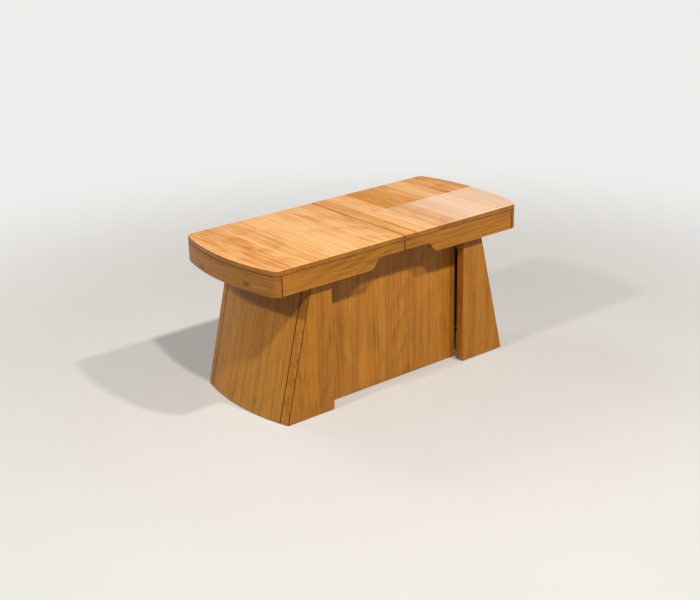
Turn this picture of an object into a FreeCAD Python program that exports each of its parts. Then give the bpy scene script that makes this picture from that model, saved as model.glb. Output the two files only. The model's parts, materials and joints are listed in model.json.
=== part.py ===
import FreeCAD, Part
import math
import os
import re
import Sketcher

# Extending bench: two bow-ended seat halves, each on its own raked pedestal, slide apart from a
# fixed centre box. Millimetres, +Z up, X along the seat, -Y towards the front, origin on the floor
# under the middle. Every piece of the right half is modelled where it stands, and the left half is
# the same half turned end for end about Z, as the two are alike on the real bench.

doc = FreeCAD.newDocument("ExtendingBench")
Vector = FreeCAD.Vector

sizes = [
    ("seat_length", 942.6, "seat, from bow to bow"),
    ("seat_depth", 420, "seat, front to back"),
    ("seat_height", 457, "floor to the top of the seat"),
    ("seat_thickness", 16, "seat board"),
    ("seat_bow", 33, "how far the ends bow out"),
    ("corner_radius", 21.5, "rounded corners of the seat in plan"),
    ("seat_easing", 4, "rounded top edge of the seat"),
    ("seam_gap", 0.5, "gap at the middle seam"),
    ("apron_depth", 57.8, "apron below the seat board"),
    ("apron_thickness", 19, "apron board"),
    ("apron_raise", 30.8, "how much shallower the apron is in the middle"),
    ("raise_flat", 80, "middle to the end of the raised flat"),
    ("raise_end", 128, "middle to the foot of the ogee"),
    ("end_return", 50.3, "bow of the seat to the joint with the straight aprons"),
    ("apron_easing", 1.5, "eased arris of the aprons"),
    ("inner_inset", 226.5, "bow of the seat to the upright inner edge of a pedestal"),
    ("board_thickness", 27.6, "pedestal side board"),
    ("foot_width", 190.2, "pedestal at the floor, inner edge to the crown of its bow"),
    ("foot_bow", 28, "bow of the end panel at the floor"),
    ("head_width", 75.9, "pedestal under the seat, inner edge to the crown of its bow"),
    ("head_bow", 20.3, "bow of the end panel under the seat"),
    ("panel_thickness", 19, "bowed end panel"),
    ("board_easing", 1.5, "eased arris of the pedestal boards"),
    ("rail_thickness", 19, "cross rails between the pedestal boards"),
    ("rail_height", 60, "cross rails between the pedestal boards"),
    ("rail_setback", 17, "pedestal inner edge to the cross rails"),
    ("rail_drop", 1, "runners above the upper cross rail"),
    ("low_rail_lift", 20, "floor to the lower cross rail"),
    ("block_size", 22, "glue blocks under the seat"),
    ("block_length", 38, "glue blocks of the aprons"),
    ("board_block_gap", 2.8, "glue blocks of the pedestal boards short of the end panel"),
    ("box_lap", 7.9, "centre box behind each pedestal's inner edges"),
    ("box_recess", 17.8, "centre box behind the pedestals' side boards"),
    ("box_board", 19, "boards of the centre box"),
    ("panel_drop", 13, "seat board to the top of the box's front and rear panels"),
    ("box_floor_lift", 20, "floor to the underside of the box's bottom board"),
    ("box_floor_thickness", 12, "bottom board of the box"),
    ("corner_post", 25, "square posts in the corners of the box"),
    ("slide_width", 24, "centre slide"),
    ("slide_height", 36, "centre slide"),
    ("slide_short", 2.7, "box's end to a centre slide's end"),
    ("slide_gap", 0.5, "between a centre slide and a runner"),
    ("runner_width", 24, "runner"),
    ("runner_height", 39, "runner"),
    ("runner_margin", 5.1, "runners clear of the box's panels"),
    ("runner_lift", 2, "runner above the box's end boards"),
    ("runner_past", 27.3, "runner past the box's far end, under the other half"),
    ("runner_tail", 32.3, "runner past the box's near end, under its own half"),
    ("runner_relief", 0.6, "runner planed down where it passes under the other half"),
    ("tongue_lift", 20, "centre slide's underside to its tongues"),
    ("tongue_height", 10, "tongues of the centre slide"),
    ("tongue_depth", 7, "tongues of the centre slide"),
    ("tongue_play", 0.5, "groove round a tongue"),
    ("tooth_module", 1.5, "pinion and racks"),
    ("pinion_teeth", 20, "teeth on a pinion"),
    ("tooth_play", 0.15, "thinning of each tooth"),
    ("gear_width", 10, "pinion and racks, face width"),
    ("gear_lift", 3, "centre slide's underside to the gear"),
    ("gear_play", 0.5, "above and below a pinion"),
    ("pinion_room", 1.5, "round a pinion in its pocket"),
    ("rack_thickness", 8, "rack, tooth tips to back"),
    ("rack_lead", 3, "rack teeth past the pinion at each end of the travel"),
    ("rack_plain", 6, "plain stretch at the near end of a rack, which stops the pinion"),
    ("rack_grip", 26, "rack left beyond the pinion when the half is fully out"),
    ("axle_radius", 4, "pinion axle"),
    ("axle_play", 0.05, "pinion on its axle"),
    ("axle_seat", 16, "axle driven up into the centre slide"),
    ("axle_head_radius", 6.5, "head of the axle"),
    ("axle_head_height", 1.5, "head of the axle"),
    ("screw_radius", 2, "wood screws"),
    ("screw_head_radius", 4, "wood screws"),
    ("screw_head_height", 3, "wood screws"),
    ("screw_bite", 10, "wood screws into the second piece"),
    ("screw_play", 0.1, "holes round the wood screws"),
    ("runner_screw_first", 50, "middle to a runner's first screw"),
    ("runner_screw_last", 45, "runner's near end to its last screw"),
    ("dowel_radius", 4, "alignment dowels at the seam"),
    ("dowel_length", 36, "alignment dowels at the seam"),
    ("dowel_play", 0.3, "holes round the dowels"),
    ("dowel_near", 50, "middle to the inner dowels"),
    ("dowel_inset", 60, "seat's long edge to the outer dowels"),
    ("lock_inset", 21, "apron to the middle of a seat lock"),
    ("lock_reach", 18, "seam to a lock's pivot, and to its stud"),
    ("lock_plate_thickness", 2.5, "lock and strike plates"),
    ("lock_plate_length", 26, "lock and strike plates"),
    ("lock_plate_width", 14, "lock and strike plates"),
    ("lock_play", 0.3, "gaps round the lock's moving arm"),
    ("lock_arm_thickness", 3, "lock arm"),
    ("lock_arm_width", 11, "lock arm"),
    ("lock_stud_radius", 3, "pivot and stud of a lock"),
    ("lock_head_radius", 5, "heads of the pivot and the stud"),
    ("lock_head_height", 1.5, "heads of the pivot and the stud"),
    ("lock_tab", 4, "finger tab at the end of the lock arm"),
    ("glide_radius", 8.5, "floor glides"),
    ("glide_height", 2, "floor glides"),
    ("glide_margin", 16, "a board's end to the middle of its glide"),
]

places = [
    ("half_length", "seat_length / 2"),
    ("half_depth", "seat_depth / 2"),
    ("half_gap", "seam_gap / 2"),
    ("under_seat", "seat_height - seat_thickness"),
    ("apron_joint", "half_length - end_return"),
    ("pedestal_inner", "half_length - inner_inset"),
    ("foot_reach", "pedestal_inner + foot_width"),
    ("head_reach", "pedestal_inner + head_width"),
    ("seat_radius", "(half_depth^2 + seat_bow^2) / (2 * seat_bow)"),
    ("seat_centre_back", "seat_radius - half_length"),
    ("apron_low", "under_seat - apron_depth"),
    ("apron_face_in", "half_depth - apron_thickness"),
    ("ogee_middle", "(raise_flat + raise_end) / 2"),
    ("board_in", "apron_face_in - board_thickness"),
    ("board_middle", "apron_face_in - board_thickness / 2"),
    ("foot_radius", "(apron_face_in^2 + foot_bow^2) / (2 * foot_bow)"),
    ("head_radius", "(apron_face_in^2 + head_bow^2) / (2 * head_bow)"),
    ("rail_near", "pedestal_inner + rail_setback"),
    ("rail_far", "rail_near + rail_thickness"),
    ("box_half_length", "pedestal_inner + box_lap"),
    ("box_half_depth", "board_in - box_recess"),
    ("box_panel_top", "under_seat - panel_drop"),
    ("box_in_x", "box_half_length - box_board"),
    ("box_in_y", "box_half_depth - box_board"),
    ("runner_low", "under_seat - runner_height"),
    ("runner_in", "slide_width / 2 + slide_gap"),
    ("runner_middle", "runner_in + runner_width / 2"),
    ("runner_out", "runner_in + runner_width"),
    ("runner_reach", "box_half_length + runner_past"),
    ("runner_back", "box_half_length + runner_tail"),
    ("box_end_top", "runner_low - runner_lift"),
    ("slide_low", "box_end_top"),
    ("slide_place", "box_in_y - runner_margin - runner_out"),
    ("slide_half_length", "box_half_length - slide_short"),
    ("tongue_low", "slide_low + tongue_lift"),
    ("tongue_out", "slide_width / 2 + tongue_depth"),
    ("pitch_radius", "tooth_module * pinion_teeth / 2"),
    ("tooth_pitch", "pi * tooth_module"),
    ("rack_tip", "pitch_radius - tooth_module"),
    ("rack_back", "rack_tip + rack_thickness"),
    ("gear_low", "slide_low + gear_lift"),
    ("gear_high", "gear_low + gear_width"),
    ("pinion_low", "gear_low + gear_play"),
    ("pinion_high", "gear_high - gear_play"),
    ("pinion_reach", "pitch_radius + tooth_module"),
    ("lock_arm_high", "under_seat - lock_plate_thickness - lock_play"),
    ("lock_arm_low", "lock_arm_high - lock_arm_thickness"),
    ("lock_head_low", "lock_arm_low - lock_play - lock_head_height"),
    ("lock_place", "apron_face_in - lock_inset"),
    ("dowel_far", "half_depth - dowel_inset"),
    ("dowel_level", "under_seat + seat_thickness / 2"),
    ("lock_screw_place", "lock_plate_length / 2 - screw_head_radius"),
    ("rack_end", "(rack_lead + 1) * tooth_pitch + rack_plain"),
    ("travel", "runner_reach - rack_grip"),
    ("screw_step", "(runner_back - runner_screw_last - runner_screw_first) / 2"),
]

home = {}


def words(formula):
    """Write the sheet's name before each size that a formula names."""
    return re.sub(
        r"[a-z][a-z_]+",
        lambda word: f"{home[word[0]]}.{word[0]}" if word[0] in home else word[0],
        formula,
    )


def fill_sheet(title, rows, write):
    sheet = doc.addObject("Spreadsheet::Sheet", title)
    for row, (alias, content, note) in enumerate(rows, start=1):
        sheet.set(f"A{row}", note)
        sheet.set(f"B{row}", write(content))
        sheet.setAlias(f"B{row}", alias)
        home[alias] = title
    return sheet


size_sheet = fill_sheet("Sizes", sizes, str)
place_sheet = fill_sheet(
    "Places",
    [(alias, formula, alias.replace("_", " ")) for alias, formula in places],
    lambda formula: "=" + words(formula),
)
doc.recompute()


def size(alias):
    sheet = size_sheet if home[alias] == "Sizes" else place_sheet
    return float(sheet.get(alias))


def bind(thing, target, formula):
    thing.setExpression(target, words(formula))


def block(name, x, y, z):
    """Box between two formulas on each axis."""
    made = doc.addObject("Part::Box", name)
    for side, axis, (low, high) in (("Length", "x", x), ("Width", "y", y), ("Height", "z", z)):
        bind(made, side, f"({high}) - ({low})")
        bind(made, f"Placement.Base.{axis}", low)
    return made


def rod(name, radius, x, y, z):
    """Upright cylinder between the two formulas in z."""
    made = doc.addObject("Part::Cylinder", name)
    bind(made, "Radius", radius)
    bind(made, "Height", f"({z[1]}) - ({z[0]})")
    bind(made, "Placement.Base.x", x)
    bind(made, "Placement.Base.y", y)
    bind(made, "Placement.Base.z", z[0])
    return made


def lying_rod(name, radius, x, y, z):
    """Cylinder along X between the two formulas in x."""
    made = doc.addObject("Part::Cylinder", name)
    made.Placement.Rotation = FreeCAD.Rotation(Vector(0, 1, 0), 90)
    bind(made, "Radius", radius)
    bind(made, "Height", f"({x[1]}) - ({x[0]})")
    bind(made, "Placement.Base.x", x[0])
    bind(made, "Placement.Base.y", y)
    bind(made, "Placement.Base.z", z)
    return made


def joined(name, pieces):
    made = doc.addObject("Part::MultiFuse", name)
    made.Shapes = pieces
    return made


def group(name, pieces):
    made = doc.addObject("Part::Compound", name)
    made.Links = pieces
    return made


def without(name, piece, *tools):
    made = doc.addObject("Part::Cut", name)
    made.Base = piece
    made.Tool = tools[0] if len(tools) == 1 else group(f"{name}_tools", list(tools))
    return made


def overlap(name, piece, tool):
    made = doc.addObject("Part::Common", name)
    made.Base = piece
    made.Tool = tool
    return made


def hold(sketch, kind, picks, formula, value):
    number = sketch.addConstraint(Sketcher.Constraint(kind, *picks, value))
    bind(sketch, f"Constraints[{number}]", formula)


def fix(sketch, kind, *picks):
    sketch.addConstraint(Sketcher.Constraint(kind, *picks))


def line(sketch, start, end):
    return sketch.addGeometry(Part.LineSegment(Vector(*start, 0), Vector(*end, 0)))


def arc(sketch, centre, radius, start, end):
    circle = Part.Circle(Vector(*centre, 0), Vector(0, 0, 1), radius)
    return sketch.addGeometry(Part.ArcOfCircle(circle, start, end))


def draw_seat_outline(sketch):
    """Seat half in plan: seam, two straight edges, two rounded corners and the bowed end."""
    gap, deep, corner = size("half_gap"), size("half_depth"), size("corner_radius")
    bow, centre = size("seat_radius"), -size("seat_centre_back")
    swing = math.asin((deep - corner) / (bow - corner))
    turn = centre + (bow - corner) * math.cos(swing)
    line(sketch, (gap, deep), (gap, -deep))
    line(sketch, (gap, -deep), (turn, -deep))
    arc(sketch, (turn, corner - deep), corner, -math.pi / 2, -swing)
    arc(sketch, (centre, 0), bow, -swing, swing)
    arc(sketch, (turn, deep - corner), corner, swing, math.pi / 2)
    line(sketch, (turn, deep), (gap, deep))
    fix(sketch, "Coincident", 0, 2, 1, 1)
    fix(sketch, "Tangent", 1, 2, 2, 1)
    fix(sketch, "Tangent", 2, 2, 3, 1)
    fix(sketch, "Tangent", 3, 2, 4, 1)
    fix(sketch, "Tangent", 4, 2, 5, 1)
    fix(sketch, "Coincident", 5, 2, 0, 1)
    fix(sketch, "Horizontal", 1)
    fix(sketch, "Horizontal", 5)
    fix(sketch, "Symmetric", 0, 1, 0, 2, -1)
    fix(sketch, "PointOnObject", 3, 3, -1)
    fix(sketch, "Equal", 2, 4)
    hold(sketch, "Radius", (2,), "corner_radius", corner)
    hold(sketch, "Radius", (3,), "seat_radius", bow)
    hold(sketch, "DistanceX", (3, 3, -1, 1), "seat_centre_back", -centre)
    hold(sketch, "DistanceY", (0, 2, 0, 1), "seat_depth", 2 * deep)
    hold(sketch, "DistanceX", (-1, 1, 0, 1), "half_gap", gap)


def bowed_section(name, level, start, half, reach, radius):
    """Plan section with three straight sides and a bowed end, at a level."""
    sketch = doc.addObject("Sketcher::SketchObject", name)
    bind(sketch, "Placement.Base.z", level)
    back, wide, far, bow = (value for _, value in (start, half, reach, radius))
    swing = math.asin(wide / bow)
    corner = far - bow + bow * math.cos(swing)
    line(sketch, (back, wide), (back, -wide))
    line(sketch, (back, -wide), (corner, -wide))
    arc(sketch, (far - bow, 0), bow, -swing, swing)
    line(sketch, (corner, wide), (back, wide))
    for piece in range(4):
        fix(sketch, "Coincident", piece, 2, (piece + 1) % 4, 1)
    fix(sketch, "Horizontal", 1)
    fix(sketch, "Horizontal", 3)
    fix(sketch, "Symmetric", 0, 1, 0, 2, -1)
    fix(sketch, "PointOnObject", 2, 3, -1)
    hold(sketch, "DistanceX", (-1, 1, 0, 1), start[0], back)
    hold(sketch, "DistanceY", (-1, 1, 0, 1), half[0], wide)
    hold(sketch, "Radius", (2,), radius[0], bow)
    hold(sketch, "DistanceX", (2, 3, -1, 1), f"({radius[0]}) - ({reach[0]})", bow - far)
    return sketch


def solid_loft(name, low, high):
    made = doc.addObject("Part::Loft", name)
    made.Sections = [low, high]
    made.Solid = True
    made.Ruled = True
    return made


def raised(name, sketch, height):
    """Prism of a plan sketch."""
    made = doc.addObject("Part::Extrusion", name)
    made.Base = sketch
    made.DirMode = "Custom"
    made.Dir = Vector(0, 0, 1)
    made.Solid = True
    bind(made, "LengthFwd", height)
    return made


def plane_of(body, role):
    return next(item for item in body.Origin.OriginFeatures if item.Role == role)


def body_sketch(body, name, role, offset):
    """Sketch on one of the body's origin planes, moved along its normal by a formula."""
    sketch = body.newObject("Sketcher::SketchObject", name)
    sketch.AttachmentSupport = [(plane_of(body, role), "")]
    sketch.MapMode = "FlatFace"
    bind(sketch, "AttachmentOffset.Base.z", offset)
    return sketch


def padded(body, name, sketch, length):
    pad = body.newObject("PartDesign::Pad", name)
    pad.Profile = sketch
    bind(pad, "Length", length)
    return pad


def edges_where(feature, wanted):
    """Names of the feature's edges whose ends and middle all satisfy a test."""
    names = []
    for number, edge in enumerate(feature.Shape.Edges, start=1):
        first, last = edge.ParameterRange
        points = [edge.valueAt(first), edge.valueAt((first + last) / 2), edge.valueAt(last)]
        if all(wanted(point) for point in points):
            names.append(f"Edge{number}")
    return names


def near(value, target):
    return abs(value - target) < 0.01


def chamfered(body, name, feature, names, formula):
    made = body.newObject("PartDesign::Chamfer", name)
    made.Base = (feature, names)
    bind(made, "Size", formula)
    return made


def make_seat():
    """Seat board: bowed plank with its top edge rounded and blind dowel holes in the seam face."""
    body = doc.addObject("PartDesign::Body", "seat_blank")
    outline = body_sketch(body, "seat_outline", "XY_Plane", "under_seat")
    draw_seat_outline(outline)
    pad = padded(body, "seat_board", outline, "seat_thickness")
    holes = body_sketch(body, "dowel_centres", "YZ_Plane", "half_gap")
    level, wide = size("dowel_level"), size("dowel_radius")
    rows = [("near", -1), ("near", 1), ("far", -1), ("far", 1)]
    for number, (row, sign) in enumerate(rows):
        place = sign * size(f"dowel_{row}")
        holes.addGeometry(Part.Circle(Vector(place, level, 0), Vector(0, 0, 1), wide))
        hold(holes, "DistanceX", (-1, 1, number, 3), f"{sign} * dowel_{row}", place)
        hold(holes, "DistanceY", (-1, 1, number, 3), "dowel_level", level)
        hold(holes, "Radius", (number,), "dowel_radius + dowel_play", wide)
    doc.recompute()
    pocket = body.newObject("PartDesign::Pocket", "dowel_holes")
    pocket.Profile = holes
    pocket.Reversed = True
    bind(pocket, "Length", "dowel_length / 2 + dowel_play")
    doc.recompute()
    top, seam = size("seat_height"), size("half_gap")
    whole_rim = edges_where(pocket, lambda point: near(point.z, top))
    at_seam = edges_where(pocket, lambda point: near(point.x, seam))
    easing = body.newObject("PartDesign::Fillet", "seat_edge")
    easing.Base = (pocket, sorted(set(whole_rim) - set(at_seam)))
    bind(easing, "Radius", "seat_easing")
    return body


def make_long_apron(name, offset):
    """Front or rear apron half: straight, with an ogee that rises to a shallower middle."""
    body = doc.addObject("PartDesign::Body", name)
    sketch = body_sketch(body, f"{name}_face", "XZ_Plane", offset)
    seam, far = size("half_gap"), size("apron_joint")
    flat, foot = size("raise_flat"), size("raise_end")
    low, high = size("apron_low"), size("under_seat")
    up = low + size("apron_raise")
    middle = ((flat + foot) / 2, (low + up) / 2)
    bend = ((middle[0] - flat) ** 2 + (up - middle[1]) ** 2) / (2 * (up - middle[1]))
    swing = math.asin((middle[0] - flat) / bend)
    line(sketch, (seam, high), (seam, up))
    line(sketch, (seam, up), (flat, up))
    arc(sketch, (flat, up - bend), bend, math.pi / 2 - swing, math.pi / 2)
    arc(sketch, (foot, low + bend), bend, 3 * math.pi / 2 - swing, 3 * math.pi / 2)
    line(sketch, (foot, low), (far, low))
    line(sketch, (far, low), (far, high))
    line(sketch, (far, high), (seam, high))
    fix(sketch, "Coincident", 0, 2, 1, 1)
    fix(sketch, "Tangent", 1, 2, 2, 2)
    fix(sketch, "Coincident", 2, 1, 3, 1)
    fix(sketch, "Tangent", 3, 2, 4, 1)
    fix(sketch, "Coincident", 4, 2, 5, 1)
    fix(sketch, "Coincident", 5, 2, 6, 1)
    fix(sketch, "Coincident", 6, 2, 0, 1)
    for level in (1, 4, 6):
        fix(sketch, "Horizontal", level)
    for upright in (0, 5):
        fix(sketch, "Vertical", upright)
    hold(sketch, "DistanceX", (-1, 1, 0, 2), "half_gap", seam)
    hold(sketch, "DistanceX", (-1, 1, 1, 2), "raise_flat", flat)
    hold(sketch, "DistanceX", (-1, 1, 2, 1), "ogee_middle", middle[0])
    hold(sketch, "DistanceX", (-1, 1, 4, 1), "raise_end", foot)
    hold(sketch, "DistanceX", (-1, 1, 5, 1), "apron_joint", far)
    hold(sketch, "DistanceY", (-1, 1, 0, 2), "apron_low + apron_raise", up)
    hold(sketch, "DistanceY", (-1, 1, 2, 1), "apron_low + apron_raise / 2", middle[1])
    hold(sketch, "DistanceY", (-1, 1, 5, 1), "apron_low", low)
    hold(sketch, "DistanceY", (-1, 1, 6, 1), "under_seat", high)
    pad = padded(body, f"{name}_board", sketch, "apron_thickness")
    doc.recompute()
    face, joint = size("half_depth"), size("apron_joint")
    outer = edges_where(
        pad, lambda point: near(abs(point.y), face) and point.z < high - 1 and point.x < joint - 1
    )
    ends = edges_where(pad, lambda point: near(abs(point.y), face) and near(point.z, low))
    chamfered(body, f"{name}_easing", pad, sorted(set(outer + ends)), "apron_easing")
    return body


def make_end_apron():
    """End apron: bent board that follows the bowed end and wraps both rounded corners."""
    outline = doc.addObject("Sketcher::SketchObject", "end_apron_outline")
    bind(outline, "Placement.Base.z", "apron_low")
    draw_seat_outline(outline)
    inside = bowed_section(
        "end_apron_inside",
        "apron_low - apron_easing",
        ("half_gap / 2", size("half_gap") / 2),
        ("apron_face_in", size("apron_face_in")),
        ("half_length - apron_thickness", size("half_length") - size("apron_thickness")),
        ("seat_radius - apron_thickness", size("seat_radius") - size("apron_thickness")),
    )
    solid = raised("end_apron_blank", outline, "apron_depth")
    hollow = raised("end_apron_hollow", inside, "apron_depth + 2 * apron_easing")
    inner_part = block(
        "end_apron_waste",
        ("0", "apron_joint"),
        ("-seat_depth", "seat_depth"),
        ("apron_low - apron_easing", "seat_height"),
    )
    bent = without("end_apron_bent", solid, hollow, inner_part)
    doc.recompute()
    body = doc.addObject("PartDesign::Body", "right_end_apron")
    body.BaseFeature = bent
    doc.recompute()
    base = body.Group[0]
    low, joint, wall = size("apron_low"), size("apron_joint"), size("apron_face_in")
    rim = edges_where(
        base,
        lambda point: near(point.z, low)
        and point.x > joint
        and (abs(point.y) > wall or point.x > size("half_length") - size("apron_thickness") / 2),
    )
    outer = [
        name
        for name in rim
        if not near(base.Shape.getElement(name).Length, size("apron_thickness"))
    ]
    chamfered(body, "end_apron_easing", base, outer, "apron_easing")
    return body


def make_pedestal(envelope, core):
    """Front and rear side boards and the bowed end panel that leans out between them."""
    standing = ("glide_height", "under_seat")
    across = ("0", "half_length")
    slabs = {
        "front": ("-apron_face_in", "-board_in"),
        "rear": ("board_in", "apron_face_in"),
    }
    bodies = []
    for side, deep in slabs.items():
        slab = block(f"{side}_board_slab", across, deep, standing)
        bodies.append((f"right_{side}_board", overlap(f"{side}_board_blank", envelope, slab)))
    shell = without("end_panel_shell", envelope, core)
    slab = block("end_panel_slab", across, ("-board_in", "board_in"), standing)
    bodies.append(("right_end_panel", overlap("end_panel_blank", shell, slab)))
    doc.recompute()
    made = []
    for name, blank in bodies:
        body = doc.addObject("PartDesign::Body", name)
        body.BaseFeature = blank
        doc.recompute()
        base = body.Group[0]
        uprights = [
            f"Edge{number}"
            for number, edge in enumerate(base.Shape.Edges, start=1)
            if edge.BoundBox.ZLength > size("under_seat") / 2
            and (name != "right_end_panel" or is_outer(edge))
        ]
        chamfered(body, f"{name}_easing", base, uprights, "board_easing")
        made.append(body)
    return made


def is_outer(edge):
    """Whether an upright edge of the end panel lies on its outer, bowed face."""
    foot = min((vertex.Point for vertex in edge.Vertexes), key=lambda point: point.z)
    return math.hypot(foot.x - size("foot_reach") + size("foot_radius"), foot.y) > (
        size("foot_radius") - size("panel_thickness") / 2
    )


def screw(name, x, y, head, tip, upward, play="0"):
    """Countersunk screw, or its hole: head and tip are the levels of its two ends."""
    cone = doc.addObject("Part::Cone", f"{name}_head")
    wide, slim = ("Radius1", "Radius2") if upward else ("Radius2", "Radius1")
    bind(cone, wide, f"screw_head_radius + {play}")
    bind(cone, slim, f"screw_radius + {play}")
    bind(cone, "Height", "screw_head_height")
    bind(cone, "Placement.Base.x", x)
    bind(cone, "Placement.Base.y", y)
    bind(cone, "Placement.Base.z", head if upward else f"({head}) - screw_head_height")
    levels = (head, tip) if upward else (tip, head)
    shank = rod(f"{name}_shank", f"screw_radius + {play}", x, y, levels)
    return joined(name, [cone, shank])


def screws(name, spots, head, tip, upward):
    """The screws at some spots, and the holes that take them."""
    made = [screw(f"{name}_{n}", x, y, head, tip, upward) for n, (x, y) in enumerate(spots)]
    holes = [
        screw(f"{name}_hole_{n}", x, y, head, tip, upward, "screw_play")
        for n, (x, y) in enumerate(spots)
    ]
    return made, holes


def make_runner(name, middle, holes):
    """Runner beside a centre slide: grooved for its tongue and rebated for the rack."""
    inner = f"({middle}) + runner_in"
    bar = block(
        f"{name}_bar",
        ("-runner_reach", "runner_back"),
        (inner, f"({middle}) + runner_out"),
        ("runner_low", "under_seat"),
    )
    groove = block(
        f"{name}_groove",
        ("-seat_length", "seat_length"),
        (f"({middle})", f"({middle}) + tongue_out + tongue_play"),
        ("tongue_low - tongue_play", "tongue_low + tongue_height + tongue_play"),
    )
    rebate = block(
        f"{name}_rebate",
        ("-seat_length", "rack_end"),
        (f"({middle})", f"({middle}) + rack_back"),
        ("runner_low - gear_width", "gear_high"),
    )
    relief = block(
        f"{name}_relief",
        ("-seat_length", "half_gap"),
        (f"({middle})", f"({middle}) + 2 * runner_out"),
        ("under_seat - runner_relief", "seat_height"),
    )
    return without(name, bar, groove, rebate, relief, *holes)


def rack_shape():
    """Rack along X with its teeth towards -Y, a space under the pinion at rest, plain at its ends."""
    pitch, tip = size("tooth_pitch"), size("rack_tip")
    module, lead = size("tooth_module"), int(size("rack_lead"))
    slope = math.tan(math.radians(20))
    half_space = pitch / 4 + size("tooth_play") / 2
    at_tip, at_root = half_space + module * slope, half_space - 1.25 * module * slope
    root = size("pitch_radius") + 1.25 * module
    spaces = range(-math.ceil(size("travel") / pitch) - lead, lead + 1)
    points = [Vector(-size("runner_reach"), tip, 0)]
    for place in (number * pitch for number in spaces):
        points += [Vector(place - at_tip, tip, 0), Vector(place - at_root, root, 0)]
        points += [Vector(place + at_root, root, 0), Vector(place + at_tip, tip, 0)]
    points += [Vector(size("rack_end"), tip, 0), Vector(size("rack_end"), size("rack_back"), 0)]
    points.append(Vector(-size("runner_reach"), size("rack_back"), 0))
    face = Part.Face(Part.makePolygon(points + points[:1]))
    return face.extrude(Vector(0, 0, size("gear_width")))


def make_rack(name, middle):
    rack = doc.addObject("Part::Feature", name)
    rack.Shape = rack_shape()
    bind(rack, "Placement.Base.y", middle)
    bind(rack, "Placement.Base.z", "gear_low")
    return rack


def pinion_shape():
    """Spur pinion with involute teeth and a bore that runs on the axle."""
    module, teeth = size("tooth_module"), int(size("pinion_teeth"))
    pitch, tip = size("pitch_radius"), size("pinion_reach")
    root, base = pitch - 1.25 * module, pitch * math.cos(math.radians(20))

    def involute(radius):
        pressure = math.acos(base / radius)
        return math.tan(pressure) - pressure

    half_tooth = (math.pi * module / 2 - size("tooth_play")) / (2 * pitch)

    def flank(radius):
        return half_tooth + involute(pitch) - involute(radius)

    def at(radius, angle):
        return Vector(radius * math.cos(angle), radius * math.sin(angle), 0)

    radii = [base + (tip - base) * step / 4 for step in range(5)]
    step = 2 * math.pi / teeth
    edges = []
    for tooth in range(teeth):
        middle = tooth * step
        rise = [at(radius, middle - flank(radius)) for radius in radii]
        fall = [at(radius, middle + flank(radius)) for radius in reversed(radii)]
        foot_in, foot_out = at(root, middle - flank(base)), at(root, middle + flank(base))
        next_foot = at(root, middle + step - flank(base))
        for points in (rise, fall):
            curve = Part.BSplineCurve()
            curve.interpolate(points)
            edges.append(curve.toShape())
        edges.append(Part.makeLine(foot_in, rise[0]))
        edges.append(Part.Arc(rise[-1], at(tip, middle), fall[0]).toShape())
        edges.append(Part.makeLine(fall[-1], foot_out))
        edges.append(Part.Arc(foot_out, at(root, middle + step / 2), next_foot).toShape())
    outline = Part.Wire(Part.__sortEdges__(edges))
    width = size("pinion_high") - size("pinion_low")
    gear = Part.Face(outline).extrude(Vector(0, 0, width))
    bore = Part.makeCylinder(size("axle_radius") + size("axle_play"), width)
    return gear.cut(bore)


def make_pinion(name, middle):
    pinion = doc.addObject("Part::Feature", name)
    pinion.Shape = pinion_shape()
    bind(pinion, "Placement.Base.y", middle)
    bind(pinion, "Placement.Base.z", "pinion_low")
    return pinion


def make_axle(name, middle):
    """Headed pin, driven up into the centre slide, that carries a pinion."""
    level = ("pinion_low - gear_play", "gear_high + axle_seat")
    pin = rod(f"{name}_pin", "axle_radius", "0", middle, level)
    head = rod(
        f"{name}_head",
        "axle_head_radius",
        "0",
        middle,
        ("pinion_low - gear_play - axle_head_height", "pinion_low - gear_play"),
    )
    return joined(name, [pin, head])


def make_centre_slide(name, middle, holes):
    """Centre slide: a tongue on each side, and a pocket and an axle hole for its pinion."""
    level = ("slide_low", "slide_low + slide_height")
    along = ("-slide_half_length", "slide_half_length")
    half = "slide_width / 2"
    bar = block(f"{name}_bar", along, (f"({middle}) - {half}", f"({middle}) + {half}"), level)
    tongues = block(
        f"{name}_tongues",
        along,
        (f"({middle}) - tongue_out", f"({middle}) + tongue_out"),
        ("tongue_low", "tongue_low + tongue_height"),
    )
    pocket = block(
        f"{name}_pocket",
        ("-pinion_reach - pinion_room", "pinion_reach + pinion_room"),
        (f"({middle}) - slide_width", f"({middle}) + slide_width"),
        ("slide_low - gear_width", "gear_high"),
    )
    hole_level = ("gear_low", "gear_high + axle_seat")
    axle_hole = rod(f"{name}_axle_hole", "axle_radius", "0", middle, hole_level)
    solid = joined(f"{name}_blank", [bar, tongues])
    return without(name, solid, pocket, axle_hole, *holes)


def make_lock_plate(name, y, holes):
    """Plate under the seat with a headed stud: the pivot of the arm, or what the arm hooks round."""
    half_long, half_wide = "lock_plate_length / 2", "lock_plate_width / 2"
    plate = block(
        f"{name}_plate",
        (f"lock_reach - {half_long}", f"lock_reach + {half_long}"),
        (f"({y}) - {half_wide}", f"({y}) + {half_wide}"),
        ("under_seat - lock_plate_thickness", "under_seat"),
    )
    stud = rod(
        f"{name}_stud",
        "lock_stud_radius",
        "lock_reach",
        y,
        ("lock_head_low", "under_seat - lock_plate_thickness"),
    )
    head = rod(
        f"{name}_head",
        "lock_head_radius",
        "lock_reach",
        y,
        ("lock_head_low", "lock_head_low + lock_head_height"),
    )
    return without(name, joined(f"{name}_blank", [plate, stud, head]), *holes)


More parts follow.
